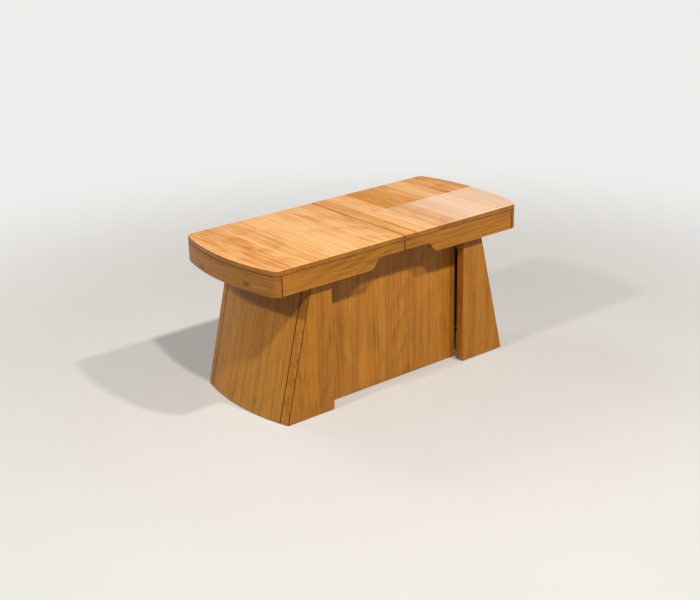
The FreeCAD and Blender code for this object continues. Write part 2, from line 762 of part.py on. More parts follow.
def make_lock_arm(name, y):
    """Arm that swings round its pivot and hooks a notch round the stud across the seam."""
    far = "3 * lock_reach"
    half_wide = "lock_arm_width / 2"
    level = ("lock_arm_low", "lock_arm_high")
    tip = f"{far} + lock_head_radius + lock_play + lock_tab"
    across = (f"({y}) - {half_wide}", f"({y}) + {half_wide}")
    bar = block(f"{name}_bar", ("lock_reach", tip), across, level)
    eye = rod(f"{name}_eye", half_wide, "lock_reach", y, level)
    tab_level = ("lock_arm_low - lock_tab", "lock_arm_high")
    tab = block(f"{name}_tab", (f"{tip} - lock_tab", tip), across, tab_level)
    through = ("lock_arm_low - lock_tab", "lock_arm_high + lock_tab")
    bore = rod(f"{name}_bore", "lock_stud_radius + axle_play", "lock_reach", y, through)
    seat = rod(f"{name}_notch_end", "lock_stud_radius + lock_play", far, y, through)
    mouth = block(
        f"{name}_notch",
        (f"{far} - lock_stud_radius - 3 * lock_play", f"{far} + lock_stud_radius + lock_play"),
        (f"({y}) - lock_arm_width", y),
        through,
    )
    return without(name, joined(f"{name}_blank", [bar, eye, tab]), bore, seat, mouth)


def make_glides(name, spots):
    """Floor glides, a little smaller where they meet the floor."""
    made = []
    for number, (x, y) in enumerate(spots):
        glide = doc.addObject("Part::Cone", f"{name}_{number}")
        bind(glide, "Radius1", "glide_radius - glide_height / 2")
        bind(glide, "Radius2", "glide_radius")
        bind(glide, "Height", "glide_height")
        bind(glide, "Placement.Base.x", x)
        bind(glide, "Placement.Base.y", y)
        made.append(glide)
    return group(name, made)


def make_right_half():
    """Every piece that slides with the right half."""
    slides = {"front": "-slide_place", "rear": "slide_place"}
    runner_spots = [
        (f"runner_screw_first + {number} * screw_step", f"({middle}) + runner_middle")
        for middle in slides.values()
        for number in range(3)
    ]
    runner_screws, runner_holes = screws(
        "runner_screw", runner_spots, "runner_low", "under_seat + screw_bite", True
    )
    plates = {"right_lock_plate": "lock_place", "right_lock_strike": "-lock_place"}
    lock_spots = [
        (f"lock_reach {sign} lock_screw_place", y) for y in plates.values() for sign in ("-", "+")
    ]
    lock_screws, lock_holes = screws(
        "lock_screw", lock_spots, "under_seat - lock_plate_thickness", "under_seat + screw_bite", True
    )
    seat_blank = make_seat()
    pieces = [without("right_seat", seat_blank, *runner_holes, *lock_holes)]
    pieces.append(make_long_apron("right_front_apron", "apron_face_in"))
    pieces.append(make_long_apron("right_rear_apron", "-half_depth"))
    pieces.append(make_end_apron())

    sections = []
    for label, inset in (("outer", "0"), ("inner", "panel_thickness")):
        thin = size("panel_thickness") if label == "inner" else 0
        ends = []
        for part, level in (("foot", "0"), ("head", "under_seat")):
            ends.append(
                bowed_section(
                    f"pedestal_{label}_{part}",
                    level,
                    ("pedestal_inner", size("pedestal_inner")),
                    ("apron_face_in", size("apron_face_in")),
                    (f"{part}_reach - {inset}", size(f"{part}_reach") - thin),
                    (f"{part}_radius - {inset}", size(f"{part}_radius") - thin),
                )
            )
        sections.append(solid_loft(f"pedestal_{label}", *ends))
    pieces += make_pedestal(*sections)

    between = ("-board_in", "board_in")
    along = ("rail_near", "rail_far")
    low = ("low_rail_lift", "low_rail_lift + rail_height")
    high = ("runner_low - rail_drop - rail_height", "runner_low - rail_drop")
    pieces.append(block("right_lower_rail", along, between, low))
    pieces.append(block("right_upper_rail", along, between, high))
    pieces.append(make_glue_blocks("right_glue_blocks"))

    for number, (name, middle) in enumerate(slides.items()):
        holes = runner_holes[3 * number:3 * number + 3]
        pieces.append(make_runner(f"right_{name}_runner", middle, holes))
        pieces.append(make_rack(f"right_{name}_rack", middle))
    pieces.append(group("right_runner_screws", runner_screws))

    for number, (name, y) in enumerate(plates.items()):
        pieces.append(make_lock_plate(name, y, lock_holes[2 * number:2 * number + 2]))
    pieces.append(make_lock_arm("right_lock_arm", "lock_place"))
    pieces.append(group("right_lock_screws", lock_screws))

    reach = ("-dowel_length / 2", "dowel_length / 2")
    dowels = [
        lying_rod(f"dowel_{number}", "dowel_radius", reach, y, "dowel_level")
        for number, y in enumerate(("dowel_far", "-dowel_near"))
    ]
    pieces.append(group("right_dowels", dowels))
    near_end, far_end = "pedestal_inner + glide_margin", "foot_reach - foot_bow - glide_margin"
    spots = [(x, y) for x in (near_end, far_end) for y in ("-board_middle", "board_middle")]
    pieces.append(make_glides("right_glides", spots))
    return pieces


def make_glue_blocks(name):
    """Blocks glued in the angle between the seat and the boards that carry or hang from it."""
    high = ("under_seat - block_size", "under_seat")
    panel = "head_reach - head_radius + sqrt((head_radius - panel_thickness)^2 - board_in^2)"
    board_far = f"{panel} - board_block_gap"
    wall = "sqrt((seat_radius - apron_thickness)^2 - (slide_place + block_length / 2)^2)"
    end_far = f"{wall} - seat_centre_back"
    sides = {"front": ("-{0}", "-{0} + block_size"), "rear": ("{0} - block_size", "{0}")}
    blocks = []
    for side, (low_side, high_side) in sides.items():
        places_along = {
            "board": ("board_in", ("rail_near", board_far)),
            "apron": ("apron_face_in", ("apron_joint - block_length", "apron_joint")),
        }
        for part, (face, along) in places_along.items():
            spread = (low_side.format(face), high_side.format(face))
            blocks.append(block(f"{side}_{part}_block", along, spread, high))
        middle = "-slide_place" if side == "front" else "slide_place"
        spread = (f"{middle} - block_length / 2", f"{middle} + block_length / 2")
        blocks.append(block(f"{side}_end_block", (f"{end_far} - block_size", end_far), spread, high))
    return group(name, blocks)


def make_centre_box():
    """Fixed box that stands between the pedestals and carries the centre slides."""
    along = ("-box_half_length", "box_half_length")
    within = ("-box_in_x", "box_in_x")
    between = ("-box_in_y", "box_in_y")
    panel = ("glide_height", "box_panel_top")
    slides = {"front": "-slide_place", "rear": "slide_place"}
    end_middle = "box_in_x + box_board / 2"
    spots = [(f"{sign}({end_middle})", y) for y in slides.values() for sign in ("-", "")]
    slide_screws, slide_holes = screws(
        "slide_screw", spots, "slide_low + slide_height", "slide_low - screw_bite", False
    )
    pieces = [
        block("centre_front_panel", along, ("-box_half_depth", "-box_in_y"), panel),
        block("centre_rear_panel", along, ("box_in_y", "box_half_depth"), panel),
    ]
    ends = {"left": ("-box_half_length", "-box_in_x"), "right": ("box_in_x", "box_half_length")}
    for side, spread in ends.items():
        board = block(f"{side}_end_blank", spread, between, ("glide_height", "box_end_top"))
        holes = slide_holes[0::2] if side == "left" else slide_holes[1::2]
        pieces.append(without(f"centre_{side}_end_board", board, *holes))
    floor = ("box_floor_lift", "box_floor_lift + box_floor_thickness")
    pieces.append(block("centre_bottom_board", within, between, floor))
    post_level = (floor[1], "box_end_top")
    corners = [("-{0}", "-{0} + corner_post"), ("{0} - corner_post", "{0}")]
    posts = []
    for number, (x, y) in enumerate((x, y) for x in corners for y in corners):
        spread_x = [edge.format("box_in_x") for edge in x]
        spread_y = [edge.format("box_in_y") for edge in y]
        posts.append(block(f"corner_post_{number}", spread_x, spread_y, post_level))
    pieces.append(group("centre_corner_posts", posts))
    for number, (name, middle) in enumerate(slides.items()):
        holes = slide_holes[2 * number:2 * number + 2]
        pieces.append(make_centre_slide(f"{name}_centre_slide", middle, holes))
        pieces.append(make_axle(f"{name}_pinion_axle", middle))
        pieces.append(make_pinion(f"{name}_pinion", middle))
    pieces.append(group("centre_slide_screws", slide_screws))
    end_x, end_y = "box_half_length - glide_margin", "box_half_depth - box_board / 2"
    spots = [(f"{a}({end_x})", f"{b}({end_y})") for a in ("-", "") for b in ("-", "")]
    pieces.append(make_glides("centre_glides", spots))
    return pieces


def turned_name(label):
    """Name of a piece's twin once the half is turned end for end."""
    swap = {"right": "left", "front": "rear", "rear": "front"}
    return "_".join(swap.get(word, word) for word in label.split("_"))


def turned(piece):
    twin = group(turned_name(piece.Label), [piece])
    twin.Placement.Rotation = FreeCAD.Rotation(Vector(0, 0, 1), 180)
    return twin


def check(pieces):
    """Stop unless every object computed and every piece is a valid solid."""
    doc.recompute()
    failed = [item.Label for item in doc.Objects if {"Invalid", "Error"} & set(item.State)]
    for piece in pieces:
        if piece.Shape.isNull() or not piece.Shape.isValid() or not piece.Shape.Solids:
            failed.append(piece.Label)
    if failed:
        raise RuntimeError("not built: " + ", ".join(sorted(set(failed))))


right_half = make_right_half()
centre = make_centre_box()
doc.recompute()
left_half = [turned(piece) for piece in right_half]
parts = right_half + left_half + centre
check(parts)
os.makedirs("parts", exist_ok=True)
for piece in parts:
    piece.Shape.exportStep(f"parts/{piece.Label}.step")
print(len(parts), "pieces written")
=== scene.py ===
import json
import math

import bpy
from mathutils import Matrix, Vector

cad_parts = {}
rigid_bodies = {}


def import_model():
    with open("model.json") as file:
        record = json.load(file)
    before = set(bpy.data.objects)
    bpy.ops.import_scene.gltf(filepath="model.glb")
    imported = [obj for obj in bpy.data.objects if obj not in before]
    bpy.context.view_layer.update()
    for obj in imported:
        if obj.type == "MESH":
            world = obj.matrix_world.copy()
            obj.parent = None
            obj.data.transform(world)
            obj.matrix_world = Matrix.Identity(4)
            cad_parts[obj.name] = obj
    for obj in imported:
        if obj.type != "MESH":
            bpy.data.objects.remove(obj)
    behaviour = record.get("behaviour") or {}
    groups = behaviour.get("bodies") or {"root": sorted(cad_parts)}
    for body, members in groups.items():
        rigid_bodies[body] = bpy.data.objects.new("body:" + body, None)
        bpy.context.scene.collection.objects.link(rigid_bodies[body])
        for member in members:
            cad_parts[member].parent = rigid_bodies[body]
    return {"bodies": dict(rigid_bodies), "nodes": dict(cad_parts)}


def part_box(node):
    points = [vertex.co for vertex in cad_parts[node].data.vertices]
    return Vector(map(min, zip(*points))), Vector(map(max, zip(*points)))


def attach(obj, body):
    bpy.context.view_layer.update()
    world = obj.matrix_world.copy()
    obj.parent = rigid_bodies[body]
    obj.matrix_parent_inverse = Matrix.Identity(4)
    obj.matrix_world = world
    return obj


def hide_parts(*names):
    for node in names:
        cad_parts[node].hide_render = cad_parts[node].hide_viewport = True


# Extending pedestal bench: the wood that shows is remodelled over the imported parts, the rest keeps
# its own meshes and gets a finish. Metres, +Z up, the seat runs along X and its front faces -Y.

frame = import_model()
nodes = frame["nodes"]
ours = set(nodes.values()) | set(frame["bodies"].values())
for leftover in [item for item in bpy.data.objects if item not in ours]:
    bpy.data.objects.remove(leftover)  # the starting file's own cube, lamp and camera
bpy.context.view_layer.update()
scene = bpy.context.scene


# Modelling helpers. Slot 0 of a piece is its wood, the others are named here.

# faces in the joint slot are drawn in a painted shade, for the dark line where two parts meet
paintedJointShadeSlot, rimSlot = 1, 2
tolerance = {"same": 2e-5, "weld": 1e-5, "surface": 1e-4}


def deselectAll():
    if bpy.context.object and bpy.context.object.mode != "OBJECT":
        bpy.ops.object.mode_set(mode="OBJECT")
    bpy.ops.object.select_all(action="DESELECT")


def applyPlace(name):
    piece = bpy.context.active_object
    bpy.ops.object.transform_apply(location=True, rotation=True, scale=True)
    piece.name = name
    piece.data.name = name
    for slot in (0, paintedJointShadeSlot):
        piece.data.materials.append(None)  # filled when the finishes are laid on
    return piece


def addBox(name, low, high):
    deselectAll()
    middle = [(a + b) / 2 for a, b in zip(low, high)]
    extent = [b - a for a, b in zip(low, high)]
    bpy.ops.mesh.primitive_cube_add(size=1, location=middle, scale=extent)
    return applyPlace(name)


def pick(piece, kind, wanted):
    # selects the vertices, edges or faces that pass a test, and stays in edit mode
    bpy.ops.object.mode_set(mode="EDIT")
    bpy.ops.mesh.select_mode(type=kind)
    bpy.ops.mesh.select_all(action="DESELECT")
    bpy.ops.object.mode_set(mode="OBJECT")
    mesh = piece.data
    points = mesh.vertices
    if kind == "VERT":
        for point in points:
            point.select = bool(wanted(point.co))
    elif kind == "EDGE":
        for edge in mesh.edges:
            edge.select = bool(wanted(*(points[i].co for i in edge.vertices)))
    else:
        for face in mesh.polygons:
            face.select = bool(wanted(face))
    bpy.ops.object.mode_set(mode="EDIT")


def cutAt(place, normal):
    # lays a ring of edges round the whole mesh where a plane crosses it
    bpy.ops.mesh.select_all(action="SELECT")
    bpy.ops.mesh.bisect(plane_co=place, plane_no=normal)


def bevelPicked(width, segments=2, slot=-1):
    # the new faces take the slot, or their neighbours' own with -1
    bpy.ops.mesh.bevel(
        offset=width, segments=segments, affect="EDGES", clamp_overlap=True, material=slot,
    )


def closeMesh():
    bpy.ops.mesh.select_all(action="SELECT")
    bpy.ops.mesh.remove_doubles(threshold=tolerance["weld"])
    bpy.ops.mesh.normals_make_consistent(inside=False)
    bpy.ops.object.mode_set(mode="OBJECT")


def smooth(piece, angle):
    deselectAll()
    piece.select_set(True)
    bpy.context.view_layer.objects.active = piece
    bpy.ops.object.shade_smooth_by_angle(angle=math.radians(angle))


def weighNormals(piece):
    # keeps the broad faces flat where they meet a rounded arris
    bpy.context.view_layer.objects.active = piece
    weigh = piece.modifiers.new("flatFaces", "WEIGHTED_NORMAL")
    weigh.keep_sharp = True
    bpy.ops.object.modifier_apply(modifier="flatFaces")


def near(a, b):
    return abs(a - b) < tolerance["same"]


def bothNear(a, b, value):
    return near(a, value) and near(b, value)


def turnCopy(piece, name):
    # the other half is the same half turned end for end
    deselectAll()
    piece.select_set(True)
    bpy.context.view_layer.objects.active = piece
    bpy.ops.object.duplicate(linked=False)
    twin = bpy.context.active_object
    twin.rotation_euler = (0, 0, math.pi)
    bpy.ops.object.transform_apply(location=True, rotation=True, scale=True)
    twin.name = name
    twin.data.name = name
    return twin


# The rounded end.

seatLow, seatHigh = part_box("right_seat")
end = {"bow": 0.033, "corner": 0.0215, "cornerSteps": 14, "bowSteps": 90}
halfLength, halfDepth = seatHigh.x, seatHigh.y
bowRadius = (halfDepth ** 2 + end["bow"] ** 2) / (2 * end["bow"])
bowMiddle = halfLength - bowRadius
cornerSwing = math.asin((halfDepth - end["corner"]) / (bowRadius - end["corner"]))
turnX = bowMiddle + (bowRadius - end["corner"]) * math.cos(cornerSwing)


def sweepRoundEnd():
    # carries what is picked at the front corner round the bowed end to the rear corner
    corner = halfDepth - end["corner"]
    bends = (
        (end["cornerSteps"], math.pi / 2 - cornerSwing, (turnX, -corner, 0)),
        (end["bowSteps"], 2 * cornerSwing, (bowMiddle, 0, 0)),
        (end["cornerSteps"], math.pi / 2 - cornerSwing, (turnX, corner, 0)),
    )
    for steps, angle, centre in bends:
        bpy.ops.mesh.spin(steps=steps, angle=-angle, center=centre, axis=(0, 0, 1))


# Seat halves.

seat = {
    "topEasing": 0.004, "topSteps": 5, "underEasing": 0.0015, "seamEasing": 0.0012, "rimLean": 0.6,
    "smoothAngle": 35,
}


def makeSeat(name):
    low, high, seam = seatLow.z, seatHigh.z, seatLow.x
    deselectAll()
    bpy.ops.mesh.primitive_plane_add(size=1, location=((seam + turnX) / 2, 0, low))
    piece = bpy.context.active_object
    piece.scale = (turnX - seam, 2 * halfDepth, 1)
    applyPlace(name)
    pick(piece, "EDGE", lambda a, b: bothNear(a.x, b.x, turnX))
    bpy.ops.mesh.delete(type="EDGE")
    pick(piece, "VERT", lambda p: near(p.x, turnX) and p.y < 0)
    sweepRoundEnd()
    bpy.ops.mesh.select_all(action="SELECT")
    bpy.ops.mesh.remove_doubles(threshold=tolerance["weld"])
    bpy.ops.mesh.select_all(action="SELECT")
    bpy.ops.mesh.edge_face_add()
    bpy.ops.mesh.extrude_region_move(TRANSFORM_OT_translate={"value": (0, 0, high - low)})
    closeMesh()

    def atSeam(a, b):
        return bothNear(a.x, b.x, seam)

    pick(piece, "EDGE", lambda a, b: bothNear(a.z, b.z, high) and not atSeam(a, b))
    bevelPicked(seat["topEasing"], seat["topSteps"])
    pick(piece, "EDGE", lambda a, b: bothNear(a.z, b.z, low) and not atSeam(a, b))
    bevelPicked(seat["underEasing"], slot=paintedJointShadeSlot)
    pick(piece, "EDGE", lambda a, b: atSeam(a, b) and not bothNear(a.z, b.z, low))
    bevelPicked(seat["seamEasing"], slot=paintedJointShadeSlot)
    closeMesh()
    piece.data.materials.append(None)
    for face in piece.data.polygons:
        if face.material_index == 0 and abs(face.normal.z) < seat["rimLean"]:
            face.material_index = rimSlot  # the end grain at the edge soaks up more colour; the top's paler colour is partly painted light
    smooth(piece, seat["smoothAngle"])
    return piece


# Aprons.

apron = {
    "thick": 0.019, "raise": 0.0308, "flat": 0.080, "foot": 0.128, "columns": 20,
    "arris": 0.0015, "topArris": 0.0014, "jointArris": 0.0016, "topBand": 0.01, "smoothAngle": 35,
    "twinShift": 1.7,
}
apronLow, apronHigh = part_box("right_front_apron")


def ogeeLift(x):
    # how far the lower edge rises: two equal arcs between the flat and the foot
    middle = (apron["flat"] + apron["foot"]) / 2
    run, rise = middle - apron["flat"], apron["raise"] / 2
    bend = (run ** 2 + rise ** 2) / (2 * rise)
    if x <= apron["flat"]:
        return apron["raise"]
    if x >= apron["foot"]:
        return 0.0
    if x <= middle:
        return apron["raise"] - bend + math.sqrt(bend ** 2 - (x - apron["flat"]) ** 2)
    return bend - math.sqrt(bend ** 2 - (apron["foot"] - x) ** 2)


def makeStraightApron(name, node):
    low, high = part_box(node)
    outer = low.y if low.y < 0 else high.y
    piece = addBox(name, low, high)

    def isFront(a, b):
        return bothNear(a.y, b.y, outer)

    def isLower(a, b):
        below = max(a.z, b.z) < high.z - apron["topBand"]
        return isFront(a, b) and below and not near(a.x, b.x)

    pick(piece, "EDGE", lambda a, b: isFront(a, b) and near(a.x, b.x))
    bevelPicked(apron["jointArris"], slot=paintedJointShadeSlot)
    step = (apron["foot"] - apron["flat"]) / apron["columns"]
    for n in range(apron["columns"] + 1):
        cutAt((apron["flat"] + step * n, 0, 0), (1, 0, 0))
    bpy.ops.object.mode_set(mode="OBJECT")
    columns = sorted({round(point.co.x, 6) for point in piece.data.vertices})
    for column in columns:
        if ogeeLift(column) > 0:
            pick(piece, "VERT", lambda p: near(p.x, column) and near(p.z, low.z))
            bpy.ops.transform.translate(value=(0, 0, ogeeLift(column)))
    pick(piece, "EDGE", isLower)
    bevelPicked(apron["arris"])
    pick(piece, "EDGE", lambda a, b: isFront(a, b) and bothNear(a.z, b.z, high.z))
    bevelPicked(apron["topArris"], slot=paintedJointShadeSlot)
    closeMesh()
    smooth(piece, apron["smoothAngle"])
    return piece


def roundTheEnd(p):
    # how far a point is from the middle of the end, measured round the board
    side = 1 if p.y > 0 else -1
    corner = halfDepth - end["corner"]
    swing = math.atan2(abs(p.y), p.x - bowMiddle)
    if p.x <= turnX:
        far = bowRadius * cornerSwing + end["corner"] * (math.pi / 2 - cornerSwing) + turnX - p.x
    elif abs(p.y) > corner and swing > cornerSwing:
        far = bowRadius * cornerSwing
        far += end["corner"] * (math.atan2(abs(p.y) - corner, p.x - turnX) - cornerSwing)
    else:
        far = bowRadius * swing
    return side * far


def makeEndApron(name):
    joint = apronHigh.x
    low, high = apronLow.z, apronHigh.z
    front = -halfDepth
    deselectAll()
    bpy.ops.mesh.primitive_plane_add(size=1, rotation=(0, math.pi / 2, 0))
    piece = bpy.context.active_object
    piece.location = (joint, front + apron["thick"] / 2, (low + high) / 2)
    piece.scale = (high - low, apron["thick"], 1)
    applyPlace(name)
    pick(piece, "FACE", lambda face: True)
    bpy.ops.mesh.extrude_region_move(TRANSFORM_OT_translate={"value": (turnX - joint, 0, 0)})
    sweepRoundEnd()
    bpy.ops.mesh.extrude_region_move(TRANSFORM_OT_translate={"value": (joint - turnX, 0, 0)})
    closeMesh()

    def isOuter(p):
        # on the face that shows, straight run, corner or bow
        if p.x <= turnX + tolerance["weld"]:
            return abs(p.y) > halfDepth - tolerance["surface"]
        corner = halfDepth - end["corner"]
        offCorner = abs(math.hypot(p.x - turnX, abs(p.y) - corner) - end["corner"])
        offBow = abs(math.hypot(p.x - bowMiddle, p.y) - bowRadius)
        return min(offCorner, offBow) < tolerance["surface"]

    def isRim(a, b, level):
        return bothNear(a.z, b.z, level) and isOuter(a) and isOuter(b)

    def isJoint(a, b):
        return bothNear(a.x, b.x, joint) and near(a.y, b.y) and isOuter(a)

    pick(piece, "EDGE", isJoint)
    bevelPicked(apron["jointArris"], slot=paintedJointShadeSlot)
    pick(piece, "EDGE", lambda a, b: isRim(a, b, low))
    bevelPicked(apron["arris"])
    pick(piece, "EDGE", lambda a, b: isRim(a, b, high))
    bevelPicked(apron["topArris"], slot=paintedJointShadeSlot)
    closeMesh()
    while piece.data.uv_layers:
        piece.data.uv_layers.remove(piece.data.uv_layers[0])
    grain = piece.data.uv_layers.new(name="grainMap")
    for loop in piece.data.loops:
        point = piece.data.vertices[loop.vertex_index].co
        grain.data[loop.index].uv = (roundTheEnd(point), point.z - low)
    smooth(piece, apron["smoothAngle"])
    return piece


# Pedestals.

pedestal = {
    "footRadius": 0.66546, "headRadius": 0.90871, "footReach": 0.4350, "headReach": 0.3207,
    "headLevel": 0.441, "wall": 0.019, "arris": 0.0015, "footArris": 0.0008, "groove": 0.0015,
    "arrisSteps": 3, "uprightShare": 0.9, "boardColumns": 6, "panelColumns": 72, "smoothAngle": 30,
}


def bowAt(level):
    # radius and middle of the bowed outside at a level
    part = level / pedestal["headLevel"]
    radius = pedestal["footRadius"] + (pedestal["headRadius"] - pedestal["footRadius"]) * part
    reach = pedestal["footReach"] + (pedestal["headReach"] - pedestal["footReach"]) * part
    return radius, reach - radius


def onBow(level, side, inset=0.0):
    radius, middle = bowAt(level)
    return middle + math.sqrt((radius - inset) ** 2 - side ** 2)


def makeRaked(name, node, columns, wall=0.0):
    # a board whose outer edge, or with a wall the whole board, follows the leaning bow
    low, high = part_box(node)
    piece = addBox(name, low, high)
    bpy.ops.object.mode_set(mode="EDIT")
    sides = [low.y + (high.y - low.y) * n / columns for n in range(columns + 1)]
    for side in sides[1:-1]:
        cutAt((0, side, 0), (0, 1, 0))

    def moveTo(start, level, side, inset):
        # carries the vertices of one corner of one column on to the bow
        pick(piece, "VERT", lambda p: near(p.x, start) and near(p.y, side) and near(p.z, level))
        bpy.ops.transform.translate(value=(onBow(level, side, inset) - start, 0, 0))

    for side in sides:
        for level in (low.z, high.z):
            moveTo(high.x, level, side, 0.0)
            if wall:
                moveTo(low.x, level, side, wall)

    def isUpright(a, b):
        onSide = near(a.y, b.y) and (near(a.y, low.y) or near(a.y, high.y))
        return onSide and abs(a.z - b.z) > pedestal["uprightShare"] * (high.z - low.z)

    def isOuter(a, b):
        return all(abs(p.x - onBow(p.z, p.y)) < tolerance["surface"] for p in (a, b))

    if not wall:
        pick(piece, "EDGE", lambda a, b: isUpright(a, b) and near(a.x, b.x))
        bevelPicked(pedestal["arris"], pedestal["arrisSteps"])
    pick(piece, "EDGE", lambda a, b: isUpright(a, b) and isOuter(a, b))
    bevelPicked(pedestal["groove"], slot=paintedJointShadeSlot)
    pick(piece, "EDGE", lambda a, b: bothNear(a.z, b.z, low.z))
    bevelPicked(pedestal["footArris"])
    closeMesh()
    smooth(piece, pedestal["smoothAngle"])
    return piece


# Centre box panels.

boxPanel = {"arris": 0.0012, "smoothAngle": 30}


def makeCentrePanel(name, node):
    low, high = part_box(node)
    piece = addBox(name, low, high)
    pick(piece, "EDGE", lambda a, b: True)
    bevelPicked(boxPanel["arris"])
    closeMesh()
    smooth(piece, boxPanel["smoothAngle"])
    return piece


# Both halves, each piece on its body.

pieces = {}


def place(piece, body, slot, *replaced):
    deselectAll()
    weighNormals(piece)
    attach(piece, body)
    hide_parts(*replaced)
    pieces[piece.name] = piece


rightHalf = [
    (makeSeat("rightSeatTop"), "leftSeatTop", "seat_wood", "right_seat", "left_seat"),
    (makeStraightApron("rightFrontApronBoard", "right_front_apron"), "leftRearApronBoard",
     "apron_wood", "right_front_apron", "left_rear_apron"),
    (makeStraightApron("rightRearApronBoard", "right_rear_apron"), "leftFrontApronBoard",
     "apron_wood", "right_rear_apron", "left_front_apron"),
    (makeEndApron("rightEndApronBoard"), "leftEndApronBoard", "apron_wood",
     "right_end_apron", "left_end_apron"),
    (makeRaked("rightFrontSideBoard", "right_front_board", pedestal["boardColumns"]),
     "leftRearSideBoard", "pedestal_wood", "right_front_board", "left_rear_board"),
    (makeRaked("rightRearSideBoard", "right_rear_board", pedestal["boardColumns"]),
     "leftFrontSideBoard", "pedestal_wood", "right_rear_board", "left_front_board"),
    (makeRaked("rightBowedPanel", "right_end_panel", pedestal["panelColumns"], pedestal["wall"]),
     "leftBowedPanel", "pedestal_wood", "right_end_panel", "left_end_panel"),
]
for piece, twinName, slot, rightNode, leftNode in rightHalf:
    twin = turnCopy(piece, twinName)
    place(piece, "right_half", slot, rightNode)
    place(twin, "left_half", slot, leftNode)
for loop in pieces["leftEndApronBoard"].data.uv_layers[0].data:
    loop.uv.x += apron["twinShift"]  # cut from another stretch of the plank
print("halves modelled:", len(rightHalf) * 2, "pieces")

for name, node in (("frontBoxPanel", "centre_front_panel"), ("rearBoxPanel", "centre_rear_panel")):
    place(makeCentrePanel(name, node), "centre_box", "panel_wood", node)
print("centre box panels modelled")


# Small helpers that lay out shader nodes.

def addNode(tree, kind, inputs=None, **settings):
    node = tree.nodes.new(kind)
    for key, value in settings.items():
        setattr(node, key, value)
    for key, value in (inputs or {}).items():
        if isinstance(value, bpy.types.NodeSocket):
            tree.links.new(value, node.inputs[key])
        else:
            node.inputs[key].default_value = value
    return node


def maths(tree, operation, a, b=0.0, c=0.0):
    inputs = {0: a, 1: b}
    if operation == "MULTIPLY_ADD":
        inputs[2] = c
    return addNode(tree, "ShaderNodeMath", inputs, operation=operation).outputs[0]


def vectors(tree, operation, a, b=(0, 0, 0)):
    node = addNode(tree, "ShaderNodeVectorMath", {0: a, 1: b}, operation=operation)
    return node.outputs["Value" if operation in ("LENGTH", "DOT_PRODUCT") else "Vector"]


def spread(tree, value, low, high, toLow=0.0, toHigh=1.0):
    # maps a range smoothly on to another
    node = addNode(
        tree, "ShaderNodeMapRange", {0: value, 1: low, 2: high, 3: toLow, 4: toHigh},
        interpolation_type="SMOOTHSTEP",
    )
    return node.outputs[0]


def noise(tree, vector, scale, detail=2.0, roughness=0.5, distortion=0.0):
    node = addNode(tree, "ShaderNodeTexNoise", {
        "Vector": vector, "Scale": scale, "Detail": detail, "Roughness": roughness,
        "Distortion": distortion,
    })
    return node.outputs["Fac"]


def blend(tree, amount, a, b, how="MIX"):
    node = addNode(tree, "ShaderNodeMix", data_type="RGBA", blend_type=how)
    for socket, value in ((node.inputs[0], amount), (node.inputs[6], a), (node.inputs[7], b)):
        if isinstance(value, bpy.types.NodeSocket):
            tree.links.new(value, socket)
        else:
            socket.default_value = value
    return node.outputs[2]


def startGroup(name, inputs, outputs):
    tree = bpy.data.node_groups.new(name, "ShaderNodeTree")
    for label, kind, value in inputs:
        kind = "NodeSocket" + kind
        socket = tree.interface.new_socket(name=label, in_out="INPUT", socket_type=kind)
        if value is not None:
            socket.default_value = value
    for label, kind in outputs:
        kind = "NodeSocket" + kind
        tree.interface.new_socket(name=label, in_out="OUTPUT", socket_type=kind)
    given, made = tree.nodes.new("NodeGroupInput"), tree.nodes.new("NodeGroupOutput")
    return tree, given.outputs, made.inputs


# The woods' shared parts: grain, knots, darkened arrises and signs of handling.

layers = {
    # noise stretched along, across and into the board, its detail and roughness
    "wander": ((1.3, 4, 4), 1.0, 0.5),
    "drift": ((1.2, 6, 6), 3.0, 0.5),
    "patches": ((1.5, 11, 11), 2.0, 0.5),
    "mottle": ((3, 14, 14), 2.0, 0.5),
    "warmth": ((2, 14, 14), 1.0, 0.5),
    "wide": ((0.8, 34, 34), 3.0, 0.6),
    "fine": ((5.0, 190, 190), 3.0, 0.7),
    "fleck": ((17, 520, 520), 2.0, 0.6),
    "fibre": ((28, 1100, 1100), 2.0, 0.6),
    "pore": ((70, 1500, 1500), 1.0, 0.5),
}
figure = {
    # sizes and shares; a pair or four numbers are a range and what it becomes
    "staveJump": (5.0, 0.5, 0.02), "glueLine": (0.0001, 0.0005, 1.0, 0.0), "bend": 0.02,
    "slantRate": 3.1, "slantDepth": 0.022, "heartDepth": 0.05, "knotSwell": 2.4,
    "rise": (0.05, 0.86), "fall": (0.88, 1.0, 1.0, 0.0), "riseCurve": 1.8,
    "patches": (0.36, 0.66, 0.25, 1.0), "pore": (0.64, 0.74), "fleck": (0.36, 0.64, -0.5, 0.5),
    "streak": (0.39, 0.61), "warmth": (0.4, 0.7),
    "wideShare": 0.42, "fineShare": 0.58, "mottleShare": 0.3, "fibreShare": 0.22,
    "redder": (0.62, 0.2, 0.04, 1), "redShare": 0.12, "poreShade": -0.34, "glueShade": -0.16,
    "heartFine": 0.9, "heartLeast": 0.35,
    "baseRough": 0.3, "fibreRough": 0.12, "poreRough": 0.2, "wanderRough": 0.1,
    "fibreHeight": 0.25, "poreHeight": -0.8, "ringHeight": 0.2, "glueHeight": -0.5,
}


def layer(tree, vector, name):
    stretch, detail, roughness = layers[name]
    return noise(tree, vectors(tree, "MULTIPLY", vector, stretch), 1.0, detail, roughness)


